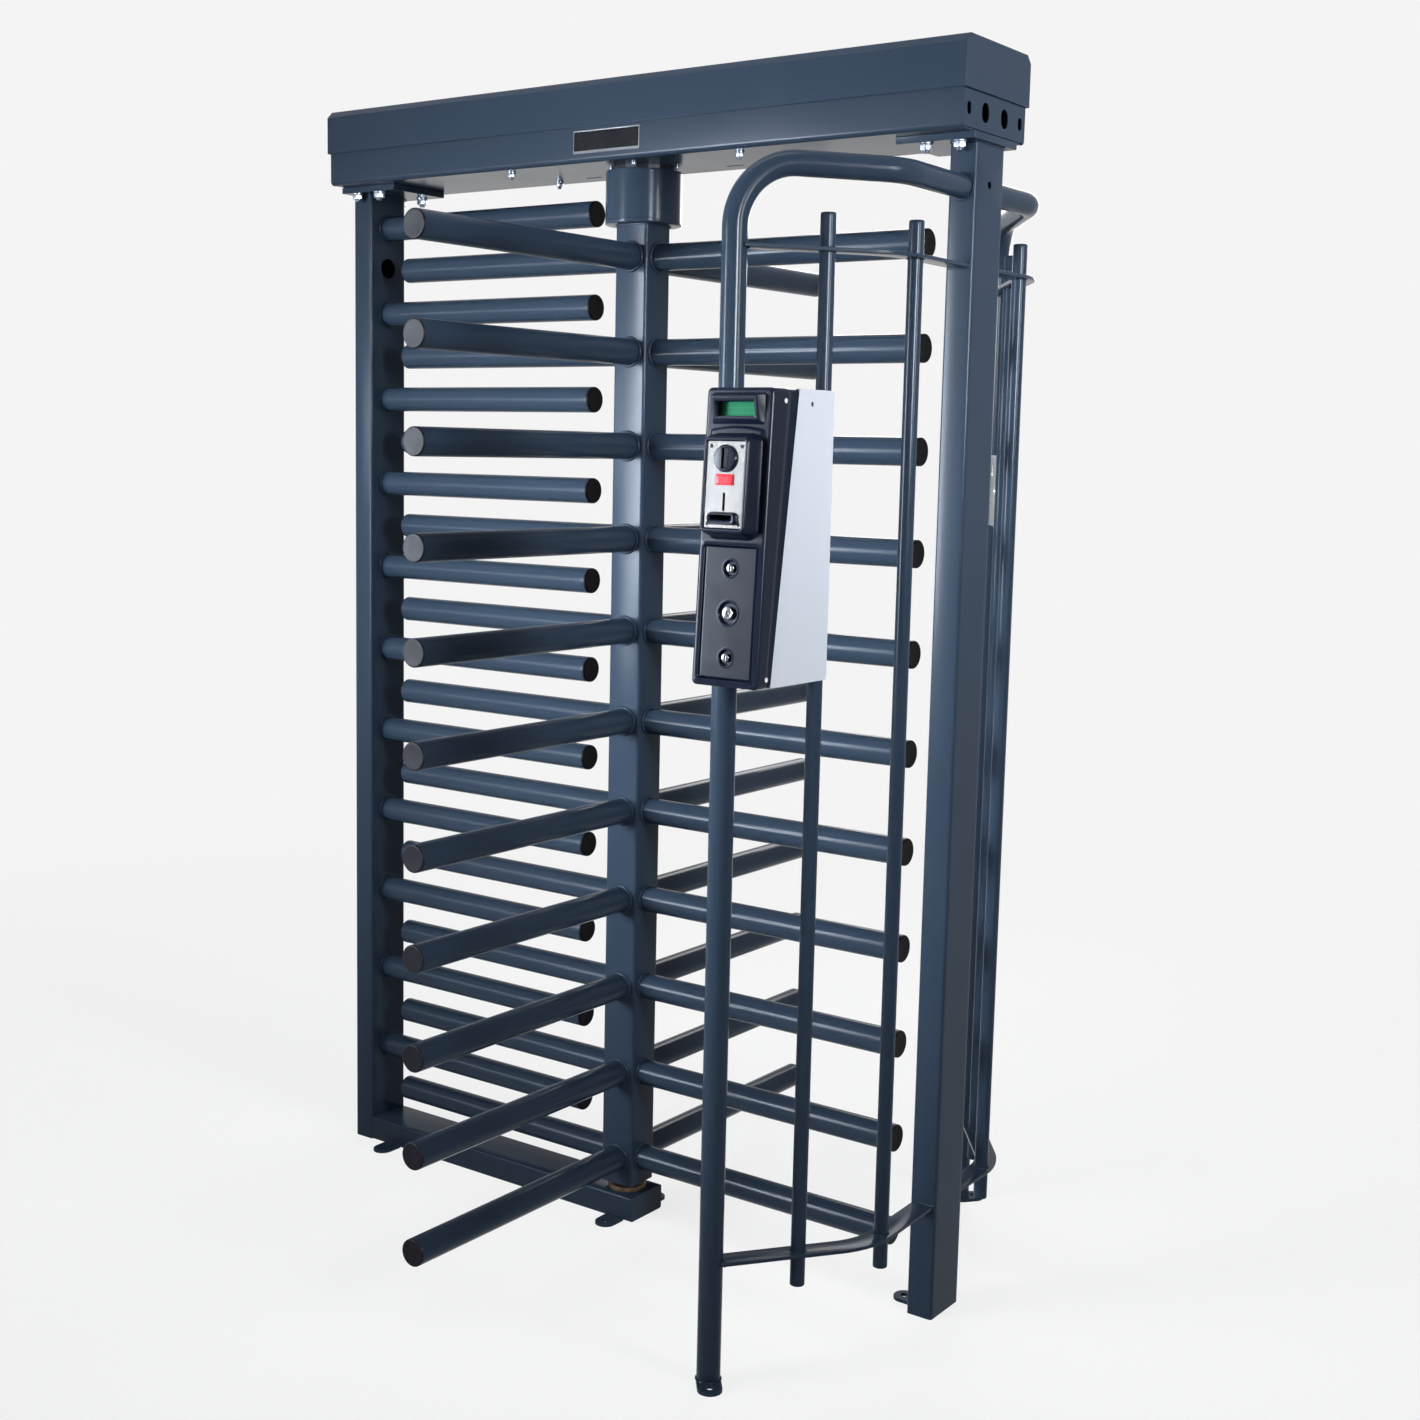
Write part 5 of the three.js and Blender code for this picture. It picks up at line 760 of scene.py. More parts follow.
slot_height, slot_reach = 2085.0, 19
slot_low, slot_high = slot_height - slot_reach, slot_height + slot_reach
end_slots = [(side * place, radius, length / 2)
             for side in (-1, 1) for place, radius, length in ((34, 12.5, 32), (91, 7, 21))]
end_holes = [((y - radius - 2, y + radius + 2, slot_low, slot_high), (y, slot_height),
              (radius, half), radius) for y, radius, half in end_slots]
end_side, end_low = 107, 2055
end_us = samples(sorted([-end_side, end_side] + [e for hole in end_holes for e in hole[0][:2]]), 3.4)
end_vs = samples([end_low, slot_low, slot_high, tray_rim], 3.8)
tongue_half, tongue_low, tongue_high = 98, 2170, 2197.7
end_tongue = slab(rounded(tray_sheet / 2, tongue_half, 0.3), tongue_low, tongue_high)
floor_end, floor_side = tray_end - tray_sheet, tray_side - tray_bend
cable_slot, slot_side, slot_frame = 168, 58, (24, 8)
slot_us = sorted(side * (cable_slot + sign * slot_frame[0]) for side in (-1, 1) for sign in (-1, 1))
slot_vs = [slot_side - slot_frame[1], slot_side + slot_frame[1]]
floor_us = samples([-floor_end, *slot_us, floor_end], 4)
floor_vs = samples([-floor_side, *slot_vs, floor_side], 4)
near_slot = np.abs(np.abs(floor_us) - cable_slot) <= slot_frame[0]
floor_us = floor_us[near_slot | np.isin(floor_us, [-floor_end, floor_end])]
floor_slots = [((low, high, *slot_vs), ((low + high) / 2, slot_side), (20, 4), 4)
               for low, high in (slot_us[:2], slot_us[2:])]
tray_rings, tray_panels = put(pierced_sheet(floor_us, floor_vs, floor_slots, tray_sheet),
                              (0, 0, tray_base + tray_sheet))
for side in (-1, 1):
    rings, panels = put(pierced_sheet(end_us, end_vs, end_holes, tray_sheet),
                        (side * tray_end, 0, 0), **dict(along_x, w=(side, 0, 0)))
    tongue_at = (side * (tray_end - tray_sheet / 2), 0, 0)
    tray_rings += [tray_wall(side), *rings, placed(end_tongue, tongue_at)]
    tray_panels += panels
piece("tray", rings=tray_rings, panels=tray_panels, replaces=["beam_tray"])
plate_nut = dict(across_flats=13, thickness=6.5, thread=4)
plate_bolt_x, plate_bolt_y = 268, 72
plate_bolts = []
for x in (-plate_bolt_x, plate_bolt_x):
    for y in (-plate_bolt_y, plate_bolt_y):
        plate_bolts += bolt_end(x, y, tray_base, **plate_nut)
piece("lock_plate_bolts", zinc, "frame", rings=plate_bolts)

# Lock inside the beam
# A plate on four feet carries a notched steel disc's two pawls and their solenoids. The control
# board with its transformer stands at the left. These nodes keep their CAD shapes.
board_green = look_of(
    "green_circuit_board", ((0.006, 0.055, 0.022), (0.015, 0.12, 0.05)),
    grain=(420, 60), gloss=(0.28, 0.5, 90), bump=(350, 0.0001),
)
coil_case = look_of(
    "zinc_coil_case", ((0.30, 0.31, 0.33), (0.52, 0.53, 0.55)),
    grain=(140, 22), gloss=(0.28, 0.48, 70), bump=(240, 0.00006), metallic=1.0,
)
refinish(zinc, "mechanism_plate")
refinish(coil_case, "solenoid_right", "solenoid_left")
refinish(bare_steel, "lock_disc", "pawl_right", "pawl_left", "plunger_right", "plunger_left")
refinish(board_green, "control_board")

# Beam lid
# A cover folded from 2 mm sheet stands over the tray's rim, with a chamfer along both upper
# edges. A small rivet holds it at the lower corner of each end.
lid_side, lid_end, lid_low, lid_top, lid_chamfer = 115.0, 735.0, 2115.0, 2200.0, 13.0
lid_sheet = 2


def lid_skin(inset, corner):
    """The cover's surface at a depth below its outer face: the bent outline is carried from end
    to end, and each end closes as a fan from the middle of its lower edge."""
    side, top = lid_side - inset, lid_top - inset
    cut = lid_chamfer - inset * corner
    outline = np.array([
        (-side, lid_low), (-side, top - cut), (cut - side, top), (side - cut, top),
        (side, top - cut), (side, lid_low),
    ])
    end = lid_end - inset
    return placed(slab(outline, -end, end, 0, lid_low), **along_x)


def lid_rim(inset):
    """The cover's lower edge as a rectangle, with the middles of its two ends."""
    side, end = lid_side - inset, lid_end - inset
    return np.array([(-end, -side), (end, -side), (end, 0), (end, side), (-end, side), (-end, 0)])


lid_every = np.ones((3, 5), bool)
lid_panels = [(lid_skin(0, 1), lid_every), (lid_skin(lid_sheet, 2 - np.sqrt(2)), lid_every)]
lid = piece("lid", body="beam_lid",
            rings=[layers((lid_rim(0), lid_low), (lid_rim(lid_sheet), lid_low))],
            panels=lid_panels, replaces=["beam_lid"])
fold = lid.modifiers.new("folded_edges", "BEVEL")
fold.width = 0.0011
fold.segments = 3
fold.limit_method = "ANGLE"
fold.angle_limit = np.radians(25)
rivet_profile = [(0, 1.6), (1.5, 1.5), (2.8, 1.0), (3.4, 0), (3.4, -0.5), (0, -0.5)]
rivet_x, rivet_lift, rivet_sink = 728, 7, 1.7
rivets = [
    placed(turned(rivet_profile, 24), (x, face * (lid_side - rivet_sink), lid_low + rivet_lift),
           v=(0, 0, 1), w=(0, face, 0))
    for x in (-rivet_x, rivet_x) for face in (-1, 1)
]
piece("lid_rivets", zinc, "beam_lid", rings=rivets)

# Name plate, left bare
# A thin satin aluminium plate with a raised rim, glued to the tray's front. Its field is black
# enamel with nothing on it.
satin_metal = look_of(
    "satin_aluminium", ((0.23, 0.24, 0.27), (0.31, 0.33, 0.36)),
    grain=(500, 60), gloss=(0.10, 0.15, 300), bump=(900, 0.00002), stretch=(0.05, 1, 1),
    metallic=1.0,
)
enamel = look_of(
    "black_enamel", ((0.004, 0.005, 0.007), (0.010, 0.011, 0.014)),
    grain=(300, 20), gloss=(0.16, 0.26, 40), bump=(200, 0.00003), specular=0.06,
)
plate_middle, plate_height = -5.0, 2088.5
plate_outline = rounded(77.5, 21, 1.5)
field_middle = [0, 1.2]
field_edge = rounded(75.6, 17.6, 0.8) + field_middle
name_plate = layers(
    (point_row(plate_outline), -0.2), (plate_outline, -0.2), (plate_outline, 0.9),
    (rounded(77.2, 20.7, 1.2), 1.2), (field_edge, 1.2), (field_edge, 0.9),
    (point_row(plate_outline, *field_middle), 0.9),
)
field = slab(rounded(75.4, 17.4, 0.7) + field_middle, 0.7, 1.0, *field_middle)
for name, look, grid in (("name_plate", satin_metal, name_plate),
                         ("name_plate_field", enamel, field)):
    on_tray = placed(grid, (plate_middle, -tray_side, plate_height), v=(0, 0, 1), w=(0, -1, 0))
    piece(name, look, rings=[on_tray])

# Cage hoops
# On each side of the passage a 40 mm tube rises from the floor, bends over and runs by a knee
# to the right post, where it is welded. A tab at its foot takes the floor anchor.
hoop_radius, hoop_level, hoop_bend = 20.0, 1967.0, 100.0
band_bend = 150.0
cage_sides = {
    "front": dict(leg=(541.0, -474.0), knee=(707.0, -253.0), post=(700.0, -50.0)),
    "back": dict(leg=(503.0, 474.0), knee=(700.0, 205.0), post=(700.0, 50.0)),
}


def bend_at(a, b, c, radius, steps):
    """The arc that touches both straights at b: centre + radius (-n cos t + d sin t), where d
    is the way in and n points to the inside of the bend. Returns points and directions."""
    a, b, c = (np.asarray(p, float) for p in (a, b, c))
    way_in = (b - a) / np.linalg.norm(b - a)
    way_out = (c - b) / np.linalg.norm(c - b)
    turn = np.arccos(way_in @ way_out)
    inside = (way_out - way_in * np.cos(turn)) / np.sin(turn)
    centre = b - way_in * radius * np.tan(turn / 2) + inside * radius
    t = np.linspace(0, turn, steps)[:, None]
    points = centre + radius * (way_in * np.sin(t) - inside * np.cos(t))
    return points, way_in * np.cos(t) + inside * np.sin(t)


def carried(outline, points, directions, sides):
    """A closed outline carried along a line: point + u * side + v * (side x direction)."""
    third = np.cross(sides, directions)
    return (points[:, None] + outline[None, :, :1] * sides[:, None]
            + outline[None, :, 1:] * third[:, None])


def closed_ends(grid):
    """Adds a row at each end where the outline has shrunk to its own middle."""
    first = np.broadcast_to(grid[0].mean(0), grid[:1].shape)
    last = np.broadcast_to(grid[-1].mean(0), grid[:1].shape)
    return np.concatenate([first, grid, last])


def circle(radius, steps):
    """A round outline: radius times (cos t, sin t)."""
    turn = full_turn(steps)
    return radius * np.stack([np.cos(turn), np.sin(turn)], 1)


def hoop_tube(leg, knee, post):
    """A round outline carried up the leg, over its bend, round the knee and on to the post."""
    foot = np.array([*leg, 0.0])
    top = np.array([*leg, hoop_level])
    corner = np.array([*knee, hoop_level])
    end = np.array([*post, hoop_level])
    shoulder_steps, elbow_steps = 26, 14
    shoulder, shoulder_way = bend_at(foot, top, corner, hoop_bend, shoulder_steps)
    elbow, elbow_way = bend_at(top, corner, end, hoop_bend, elbow_steps)
    points = np.concatenate([[foot], shoulder, elbow, [end]])
    ways = np.concatenate([[[0, 0, 1.0]], shoulder_way, elbow_way, elbow_way[-1:]])
    run = (corner - top) / np.linalg.norm(corner - top)
    fixed = np.cross(run, [0, 0, 1.0])
    flat = np.cross(ways, [0, 0, 1.0])
    sides = np.where((np.arange(len(points)) <= shoulder_steps)[:, None], fixed, flat)
    sides = sides / np.linalg.norm(sides, axis=1, keepdims=True)
    return closed_ends(carried(circle(hoop_radius, 44), points, ways, sides))


tab_turn = np.radians(50)
for side, route in cage_sides.items():
    outward = -tab_turn if side == "front" else tab_turn
    tab = lug_plate(*route["leg"], outward, sink=0)
    piece(f"{side}_tube", rings=[hoop_tube(**route), tab], replaces=[f"{side}_hoop"])
    face = route["post"][1]
    seam = weld_bead(ring_line(hoop_radius + 1.2, (*route["post"], hoop_level),
                               (1, 0, 0), (0, 0, 1)), (0, np.sign(face), 0), 3.0)
    foot_seam = weld_bead(ring_line(hoop_radius + 0.8, (*route["leg"], 6.2), (1, 0, 0), (0, 1, 0)),
                          (0, 0, 1), 1.6)
    welds(f"{side}_tube_welds", [seam, foot_seam])

# Cage bands and bars
# Two 40 x 6 mm flat bands join each hoop's leg to the post, low and high. Two thin upright
# tubes pass through holes in them, are welded there and end in small black plugs.
band_levels = (208.0, 1839.0)
bar_radius, bar_low, bar_high = 12.5, 151.0, 1896.0
bar_shares = {"front": (0.55, 1.236), "back": (0.49, 1.2)}
band_section = rounded(20, 3, 0.9, 4)
band_start, band_weld_start, band_weld_radius = 10, 19, 2.0


def flat_band(leg, knee, post, level):
    """A flat section carried from just inside the leg round the knee's bend to the post."""
    leg, knee, post = (np.array([*p, level]) for p in (leg, knee, post))
    start = leg + (knee - leg) / np.linalg.norm(knee - leg) * band_start
    bend, ways = bend_at(leg, knee, post, band_bend, 22)
    points = np.concatenate([[start], bend, [post]])
    ways = np.concatenate([ways[:1], ways, ways[-1:]])
    sides = np.cross(ways, [0, 0, 1.0])
    return closed_ends(carried(band_section, points, ways, sides))


def bar_place(route, share):
    """A place on the route: up to 1 along the leg's straight, and past 1 on towards the post."""
    leg, knee, post = (np.array(route[key]) for key in ("leg", "knee", "post"))
    return leg + (knee - leg) * share if share <= 1 else knee + (post - knee) * (share - 1)


bar_profile = [
    (0, bar_low + 1.5), (bar_radius - 1.6, bar_low + 1.5), (bar_radius - 1.2, bar_low + 0.9),
    (bar_radius, bar_low + 1.9), (bar_radius, bar_low + 5), (bar_radius, bar_high - 6),
    (bar_radius, bar_high - 2.4), (bar_radius - 0.3, bar_high - 1.9),
    (bar_radius - 1.2, bar_high - 1.6), (0, bar_high - 1.6),
]
bar_plug = [(0, 0), (8.5, 0.1), (10.6, -0.2), (11.9, -0.9), (12.2, -1.9), (11.5, -2.2), (0, -2.2)]
for side, route in cage_sides.items():
    for level, which in zip(band_levels, ("lower", "upper")):
        band = flat_band(**route, level=level)
        piece(f"{side}_{which}_band", rings=[band], replaces=[f"{side}_band_{which}"])
    seams, plugs = [], []
    face = route["post"][1]
    for number, share in enumerate(bar_shares[side], 1):
        x, y = bar_place(route, share)
        piece(f"{side}_bar_{number}", rings=[turned(bar_profile, 36) + np.array([x, y, 0])],
              replaces=[f"{side}_cage_bar_{number}"])
        plugs.append(turned(bar_plug, 36) + np.array([x, y, bar_high]))
        plugs.append(turned(bar_plug, 36) * np.array([1, 1, -1]) + np.array([x, y, bar_low]))
        for level in band_levels:
            for lift in (-1, 1):
                line = ring_line(bar_radius + 0.6, (x, y, level + lift * 3.2), (1, 0, 0),
                                 (0, 1, 0), 56)
                seams.append(weld_bead(line, (0, 0, lift), 1.5))
    leg, knee = np.array(route["leg"]), np.array(route["knee"])
    along = (knee - leg) / np.linalg.norm(knee - leg)
    across = np.array([-along[1], along[0]])
    for level in band_levels:
        at_post = line_of(rounded(20.5, 3.4, 1.5), (route["post"][0], face, level), v=(0, 0, 1))
        at_leg = line_of(rounded(17, 3.4, 1.5), (*(leg + along * band_weld_start), level),
                         u=(*across, 0), v=(0, 0, 1))
        seams.append(weld_bead(at_post, (0, np.sign(face), 0), band_weld_radius))
        seams.append(weld_bead(at_leg, (*along, 0), band_weld_radius))
    welds(f"{side}_band_welds", seams)
    piece(f"{side}_bar_plugs", black_plug, "frame", rings=plugs)

# Reader plate
# A plate folded from 2 mm galvanised sheet is welded between the back leg and the first back
# bar. Four upright slots and a cable hole wait for a card reader.
galvanised = look_of(
    "galvanised_sheet", ((0.42, 0.44, 0.46), (0.62, 0.64, 0.66)),
    grain=(55, 12), gloss=(0.28, 0.5, 30), bump=(160, 0.00004), metallic=1.0,
)
back = cage_sides["back"]
back_leg = np.array(back["leg"])
first_bar = bar_place(back, bar_shares["back"][0])
plate_run = first_bar - back_leg
plate_gap = np.linalg.norm(plate_run) - hoop_radius - bar_radius
plate_way = plate_run / np.linalg.norm(plate_run)
plate_length = plate_gap - 0.6
plate_centre = back_leg + plate_way * (hoop_radius + plate_gap / 2)
plate_out = np.array([-plate_way[1], plate_way[0]])
reader_level, reader_half = 1461.0, 67.5
half_length = plate_length / 2
slot_u, slot_v = 0.28 * plate_length, 37.8
slot_wide, slot_tall, hole_frame = 6, 16, 10
reader_slots = [
    ((u - slot_wide, u + slot_wide, v - slot_tall, v + slot_tall), (u, v), (2.5, 13), 2.5)
    for u in (-slot_u, slot_u) for v in (-slot_v, slot_v)
]
reader_slots.append(((-hole_frame, hole_frame, -hole_frame, hole_frame), (0, 0), (6, 6), 6))


def reader_lines(half, slot, reach):
    """Grid lines across the plate, on the edges of the frames round its slots and its hole."""
    right = [hole_frame, slot - reach, slot + reach, half]
    return samples([-e for e in right[::-1]] + right, 3)


reader_us = reader_lines(half_length, slot_u, slot_wide)
reader_vs = reader_lines(reader_half, slot_v, slot_tall)
reader_axes = dict(u=(*plate_way, 0), v=(0, 0, 1), w=(*plate_out, 0))
reader_rings, reader_panels = put(
    pierced_sheet(reader_us, reader_vs, reader_slots, 2),
    (*(plate_centre + plate_out), reader_level), **reader_axes)
flange = slab(rounded(1, reader_half, 0.3), -11, -0.5)
for end in (-1, 1):
    at = plate_centre + plate_way * end * (half_length - 1)
    reader_rings.append(placed(flange, (*at, reader_level), **reader_axes))
piece("reader_plate", galvanised, "frame", rings=reader_rings,
      panels=reader_panels, replaces=["rear_reader_plate"])

# Coin unit housing
# A box of thin sheet steel with a light grey paint, open towards its moulded front. Two zinc
# U bolts hold it to the front leg, and a small grommet shows near the top of its right side.
unit_x, unit_y, unit_z = 561.3, -593.0, 1176.0
unit_width, unit_height, unit_lean = 120.0, 445.0, 27
lean = np.arctan2(unit_lean, unit_height)
lean_c, lean_s = np.cos(lean), np.sin(lean)
sloping = dict(u=(1, 0, 0), v=(0, lean_s, lean_c), w=(0, -lean_c, lean_s))
unit_origin = np.array([unit_x, unit_y, unit_z])


def on_front(grid, rise=0):
    """Carries a grid from the sloping front's own axes to its place, lifted off its plane."""
    return placed(grid + np.array([0, 0, rise]), unit_origin, **sloping)


grey_paint = look_of(
    "light_grey_paint", ((0.44, 0.48, 0.545), (0.48, 0.52, 0.585)),
    grain=(1400, 3), gloss=(0.34, 0.46, 20), bump=(700, 0.00004), specular=0.3,
)
refinish(grey_paint, "coin_housing")
grommet = turned([(0, 0.05), (1.6, 0.05), (1.9, 0.2), (2.3, 0.25), (2.5, 0), (0, -0.3)], 20)
oval = np.array([1, 1.5, 1])
grommet_place = (unit_x + unit_width - 0.05, unit_y + 132, unit_z + unit_height - 22)
piece("housing_grommets", black_plug, "frame",
      rings=[placed(grommet * oval, grommet_place, **along_x)])
wire_radius, clamp_arm, wire_end = 3.0, 23.3, unit_x + 23.5
clamp_shares = (0.48, 0.88)
leg_x, leg_y = cage_sides["front"]["leg"]
for number, share in enumerate(clamp_shares, 1):
    level_z = unit_z + share * unit_height
    corners = [(x, leg_y + side * clamp_arm, level_z) for side, x in (
        (-1, wire_end), (-1, leg_x - clamp_arm), (1, leg_x - clamp_arm), (1, wire_end))]
    first, first_way = bend_at(*corners[:3], clamp_arm - 0.15, 18)
    second, second_way = bend_at(*corners[1:], clamp_arm - 0.15, 18)
    points = np.concatenate([corners[:1], first, second, corners[3:]])
    ways = np.concatenate([first_way[:1], first_way, second_way, second_way[-1:]])
    sides = np.cross(ways, [0, 0, 1.0])
    wire = closed_ends(carried(circle(wire_radius, 16), points, ways, sides))
    piece(f"u_bolt_{number}", zinc, "frame", rings=[wire],
          replaces=[f"unit_clamp_{number}"])

# Moulded front of the coin unit
# One black plastic moulding: a rounded shell with a leaning block round the display, a brow,
# a bezel with sloping sides round the coin plate and a frame round the cash door.
slope_height = np.hypot(unit_lean, unit_height)
unit_mid, slope_mid = 60.0, slope_height / 2
moulded_black = look_of(
    "black_moulded_plastic", ((0.0045, 0.0070, 0.0180), (0.0065, 0.0100, 0.0240)),
    grain=(1500, 9), gloss=(0.20, 0.25, 26), bump=(1100, 0.00002), specular=0.08,
)
shell_corner, shell_roll = 8.0, 5.0
brow_top, brow_arch, brow_foot, brow_rise = 383, 6, 366, 3.2
brow_wave, brow_half = 104, 50
door_roll, lip_rise, lip_at, lip_half = 2.4, 1.5, 3.6, 2.6
window = ((unit_mid, 413.5), (34.0, 10.5), 1.5)
pocket = ((unit_mid, 300.5), (33.8, 63.8), 2.5)
block_plan = ((unit_mid, 414.5), (47.0, 23.5), 4.0)
bezel_plan = ((unit_mid, 300.0), (46.5, 80.0), 17.0)
door_hole = ((unit_mid, 111.0), (47.8, 99.8), 4.0)
window_margin, door_margin = 4.0, 6.0
window_roll, window_drop = 0.9, 0.7


def inside_by(x, z, centre, half, radius):
    """How far a point lies inside a rectangle with round corners, negative outside it."""
    qx = np.abs(x - centre[0]) - (half[0] - radius)
    qz = np.abs(z - centre[1]) - (half[1] - radius)
    outside = np.hypot(np.maximum(qx, 0), np.maximum(qz, 0))
    return radius - outside - np.minimum(np.maximum(qx, qz), 0)


def ease(share):
    """A soft step from 0 to 1: 3 s squared less 2 s cubed, with s held between 0 and 1."""
    share = np.clip(share, 0, 1)
    return share * share * (3 - 2 * share)


def front_rise(x, z):
    """How far the moulding stands out from its sloping front plane: a low arched brow under the
    display, less the rounding of the outer edge and of the door's opening, plus a narrow lip."""
    arch = brow_top + brow_arch * np.cos((x - unit_mid) / brow_wave * np.pi)
    brow = brow_rise * ease((arch - z) / 4) * ease((z - brow_foot) / 10)
    brow = brow * ease((brow_half - np.abs(x - unit_mid)) / 7)
    middle = (unit_mid, slope_mid)
    edge_in = inside_by(x, z, middle, middle, shell_corner)
    near_edge = np.clip(shell_roll - edge_in, 0, shell_roll)
    rolled = shell_roll - np.sqrt(shell_roll ** 2 - near_edge ** 2)
    door_out = -inside_by(x, z, *door_hole)
    near_door = np.clip(door_roll - door_out, 0, door_roll)
    lip = lip_rise * ease(1 - np.abs(door_out - lip_at) / lip_half)
    return brow + lip - rolled - (door_roll - np.sqrt(door_roll ** 2 - near_door ** 2))


def round_plan(x, z):
    """Moves the points of the square corners onto the round ones: inside each corner's square
    the distance from its inner corner is scaled from a square's measure to a circle's."""
    qx = np.abs(x - unit_mid) - (unit_mid - shell_corner)
    qz = np.abs(z - slope_mid) - (slope_mid - shell_corner)
    corner = (qx > 0) & (qz > 0)
    scale = np.where(corner, np.maximum(qx, qz) / np.maximum(np.hypot(qx, qz), 1e-9), 1)
    round_x = unit_mid + np.sign(x - unit_mid) * (unit_mid - shell_corner + qx * scale)
    round_z = slope_mid + np.sign(z - slope_mid) * (slope_mid - shell_corner + qz * scale)
    return np.where(corner, round_x, x), np.where(corner, round_z, z)


def frame_span(hole, margin):
    """The rectangle round an opening: left, right, lower and upper edge."""
    centre, half, _ = hole
    return (centre[0] - half[0] - margin, centre[0] + half[0] + margin,
            centre[1] - half[1] - margin, centre[1] + half[1] + margin)


spans = [frame_span(window, window_margin), frame_span(door_hole, door_margin)]
fine_edge = [0.0, 0.25, 1.0, 2.2, 3.6, 5.0, shell_corner]


def front_lines(length, edges, step):
    """Grid lines from 0 to the length: fine near both ends, and on the edges of the openings."""
    inner = samples(sorted({shell_corner, length - shell_corner, *edges}), step)
    every = np.concatenate([inner, fine_edge, [length - e for e in fine_edge]])
    return np.unique(np.round(every, 4))


front_xs = front_lines(unit_width, [e for span in spans for e in span[:2]], 1.0)
front_zs = front_lines(slope_height, [e for span in spans for e in span[2:]], 1.15)
grid_x, grid_z = np.meshgrid(front_xs, front_zs, indexing="ij")
plan_x, plan_z = round_plan(grid_x, grid_z)
front_grid = np.stack([plan_x, plan_z, front_rise(plan_x, plan_z)], -1)
front_keep = np.ones((len(front_xs) - 1, len(front_zs) - 1), bool)
front_rings = []
for hole, span, floor_at in ((window, spans[0], -3.9), (door_hole, spans[1], -8.5)):
    around = cut_out(front_xs, front_zs, front_keep, span)
    centre, half, radius = hole
    reach = min(span[1] - centre[0] - half[0], 3.0)
    rows = [at_height(around, front_rise(*around.T))]
    for out in (reach, 0.66 * reach, 0.33 * reach, 0.6, 0.2, 0.0):
        line = opening(around, np.array(centre), np.array(half) + out, radius + out)
        height = front_rise(*line.T)
        if hole is window:
            inward = 1 - min(out, window_roll) / window_roll
            height = height - window_drop * (1 - np.sqrt(np.clip(1 - inward ** 2, 0, 1)))
        rows.append(at_height(line, height))
    for share in (0.5, 1.0):
        rows.append(at_height(line, height + (floor_at - height) * share))
    front_rings.append(np.stack(rows))
around = frame_of(front_xs, front_zs)
border_x, border_z = round_plan(*around.T)
border = np.stack([border_x, border_z, front_rise(border_x, border_z)], 1)
border = on_front(border)
wall_foot, wall_top = 37, 96
height_share = np.clip((border[:, 2] - unit_z) / unit_height, 0, 1)
back_y = unit_y + wall_foot + (wall_top - wall_foot) * height_share
wall_rows = [border]
for share in (0.04, 0.5, 1.0):
    row = border.copy()
    row[:, 1] = border[:, 1] + (back_y - border[:, 1]) * share
    wall_rows.append(row)
front = piece(
    "front_moulding", moulded_black, "frame",
    rings=[*map(on_front, front_rings), np.stack(wall_rows)],
    panels=[(on_front(front_grid), front_keep)], crease=50, replaces=["coin_front"],
)
wall = front.modifiers.new("moulded_wall", "SOLIDIFY")
wall.thickness = 0.0016
wall.offset = -1
wall.use_rim = True


def plan_of(centre, half, radius, inset=0.0):
    """A rounded outline at its place on the sloping front, drawn in by the inset."""
    return rounded(half[0] - inset, half[1] - inset, max(radius - inset, 0.3), 12) + centre


block_span, block_rises = (391, 438), (5, 17)


def block_row(outline, share, less=0.0):
    """A ring of the display block, whose full height grows evenly from its foot to its top."""
    full = np.interp(outline[:, 1], block_span, block_rises)
    return at_height(outline, full * share - less)


block = np.stack([
    block_row(plan_of(*block_plan), 0, 0.6), block_row(plan_of(*block_plan), 0),
    block_row(plan_of(*block_plan, 0.7), 0.1), block_row(plan_of(*block_plan, 5.2), 0.88),
    block_row(plan_of(*block_plan, 5.9), 0.95), block_row(plan_of(*block_plan, 6.8), 0.99),
    block_row(plan_of(*block_plan, 7.8), 1), block_row(plan_of(*window, -1.6), 1),
    block_row(plan_of(*window, -0.7), 1, 0.2), block_row(plan_of(*window, -0.1), 1, 0.9),
    block_row(plan_of(*window), 0.4, 0.9), block_row(plan_of(*window), 0, 0.6),
    block_row(plan_of(*block_plan), 0, 0.6),
])
bezel_rise = 29.0
bezel_foot = plan_of(*bezel_plan)
bezel_rim = plan_of(pocket[0], (37.6, 67.6), 6.0)
bezel_rows = [
    at_height(bezel_foot + (bezel_rim - bezel_foot) * inward, bezel_rise * up - less)
    for inward, up, less in (
        (0, 0, 0.6), (0, 0, 0), (0.1, 0.04, 0), (0.22, 0.16, 0), (0.34, 0.36, 0), (0.46, 0.58, 0),
        (0.58, 0.76, 0), (0.7, 0.89, 0), (0.82, 0.965, 0), (0.92, 0.993, 0), (1, 1, 0))
]
for grown, height in ((1.5, bezel_rise), (1.0, 28.6), (0.6, 27.3), (0.1, 26.8), (0, 26.3),
                      (0, 24.0), (0, -0.6)):
    rim = plan_of(pocket[0], (pocket[1][0] + grown, pocket[1][1] + grown), pocket[2] + grown)
    bezel_rows.append(at_height(rim, height))
bezel_rows.append(bezel_rows[0])
piece("display_block", moulded_black, "frame", crease=50,
      rings=[on_front(block)])
piece("plate_bezel", moulded_black, "frame", crease=50,
      rings=[on_front(np.stack(bezel_rows))])
cap_profile = [(0, 1.9), (1.4, 1.8), (2.8, 1.35), (3.7, 0.6), (4.0, 0), (4.0, -0.8), (0, -0.8)]
white_cap = look_of(
    "white_screw_cap", ((0.70, 0.71, 0.73), (0.80, 0.81, 0.83)),
    grain=(300, 30), gloss=(0.25, 0.4, 50), bump=(300, 0.00003), specular=0.15,
)
cap_places = [(59.5, 426.0), (26.0, 14.0)]
flange_caps = []
